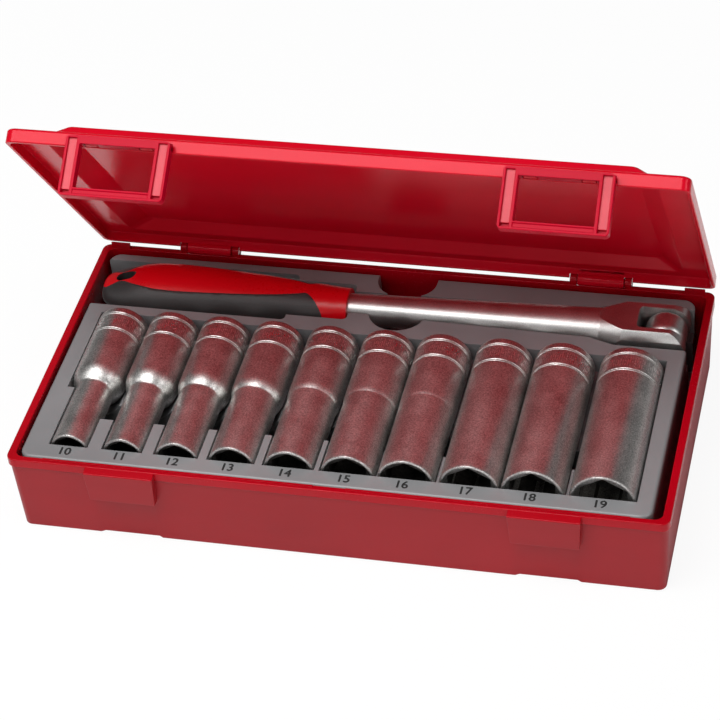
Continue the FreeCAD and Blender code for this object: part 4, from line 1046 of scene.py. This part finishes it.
# The grip: a hard red shell over the back and the neck, and a soft dark overmould
# that wraps the palm, both moulded round the tail of the shank.
grip_red = clear_red(
    "grip_red", (0.6, 0.0008, 0.005, 1), (0.7, 0.0012, 0.008, 1), 0.3, 0.000003, 0.35, plain_gloss
)
soft_finish = Finish("grip_dark")
soft_cloud = soft_finish.noise(60, 3)
soft_fine = soft_finish.noise(1800, 3)
grip_dark = soft_finish.surface(
    {
        "Base Color": soft_finish.ramp(
            soft_cloud, [(0.3, (0.016, 0.013, 0.013, 1)), (0.7, (0.028, 0.023, 0.023, 1))]
        ),
        "Roughness": 0.5 + (soft_fine - 0.5) * 0.25,
        "Normal": soft_finish.bump(soft_fine, 0.00004),
        "Sheen Weight": 0.15,
    }
)
hard_copy = merged_copy("grip_shell")
hard = settle(hard_copy, "hard_grip_shell", grip_red, "handle", ["grip_shell"], 30)
ease(hard, 0.0003, 2, 40)
soft_copy = merged_copy("grip_overmould")
soft = settle(soft_copy, "soft_grip_cover", grip_dark, "handle", ["grip_overmould"], 30)
ease(soft, 0.0003, 2, 40)


# The small parts inside the head and the fork: a ball and a plunger of hardened steel
# and the coil springs behind them, bright, pushed into their bores before the pin.
small_finish = Finish("spring_steel")
small_noise = small_finish.noise(700, 2)
spring_steel = small_finish.surface(
    {
        "Base Color": small_finish.ramp(
            small_noise, [(0.3, (0.5, 0.49, 0.48, 1)), (0.7, (0.62, 0.61, 0.6, 1))]
        ),
        "Metallic": 1.0,
        "Roughness": 0.22 + (small_noise - 0.5) * 0.1,
    }
)
for node in ("detent_ball", "detent_spring", "friction_plunger", "friction_spring"):
    kept = bpy.data.objects[node]
    kept.data.materials.clear()
    kept.data.materials.append(spring_steel)


# The floor and the light: a matt pale floor that is white to the lens but keeps the
# soft shadow, a dim room, and four soft lamps above, to both sides and in front.
floor_white = 0.92
room_glow = 0.13
floor_finish = Finish("pale_floor")
seen = floor_finish.signal("ShaderNodeLightPath", "Is Camera Ray")
matt = floor_finish.node("ShaderNodeBsdfDiffuse", None, {"Color": (0.93, 0.93, 0.93, 1)})
glow = floor_finish.node("ShaderNodeEmission", None, {"Color": (1, 1, 1, 1), "Strength": 1.0})
mixed = floor_finish.node(
    "ShaderNodeMixShader", None, {0: seen * floor_white, 1: matt.outputs[0], 2: glow.outputs[0]}
)
floor_finish.node("ShaderNodeOutputMaterial", None, {"Surface": mixed.outputs[0]})
ground = bmesh.new()
bmesh.ops.create_grid(ground, x_segments=1, y_segments=1, size=4)
floor_mesh = bpy.data.meshes.new("floor")
ground.to_mesh(floor_mesh)
floor_mesh.materials.append(floor_finish.material)
floor = bpy.data.objects.new("floor", floor_mesh)
bpy.context.collection.objects.link(floor)

world = bpy.data.worlds.new("studio")
world.use_nodes = True
room = world.node_tree
backdrop = room.nodes["Background"]
backdrop.inputs["Color"].default_value = (1, 1, 1, 1)
rays = room.nodes.new("ShaderNodeLightPath")
brightness = room.nodes.new("ShaderNodeMapRange")
brightness.inputs["To Min"].default_value = room_glow
brightness.inputs["To Max"].default_value = 1.0
room.links.new(rays.outputs["Is Camera Ray"], brightness.inputs["Value"])
room.links.new(brightness.outputs["Result"], backdrop.inputs["Strength"])
bpy.context.scene.world = world


def soft_lamp(name, place, target, width, height, power):
    """A rectangular lamp that faces its target."""
    light = bpy.data.lights.new(name, "AREA")
    light.shape = "RECTANGLE"
    light.size = width
    light.size_y = height
    light.energy = power
    lamp = bpy.data.objects.new(name, light)
    lamp.location = place
    aim = Vector(target) - Vector(place)
    lamp.rotation_euler = aim.to_track_quat("-Z", "Y").to_euler()
    bpy.context.collection.objects.link(lamp)


soft_lamp("overhead", (-0.28, -0.36, 1.2), (0, 0, 0.03), 0.8, 0.9, 15)
soft_lamp("left", (-1.1, -0.6, 0.8), (0, 0, 0.03), 0.5, 0.4, 2.0)
soft_lamp("front", (0.35, -1.5, 0.55), (0, 0, 0.05), 0.8, 0.5, 3.5)
soft_lamp("right", (1.2, -0.3, 0.9), (0, 0, 0.03), 0.6, 0.5, 4)
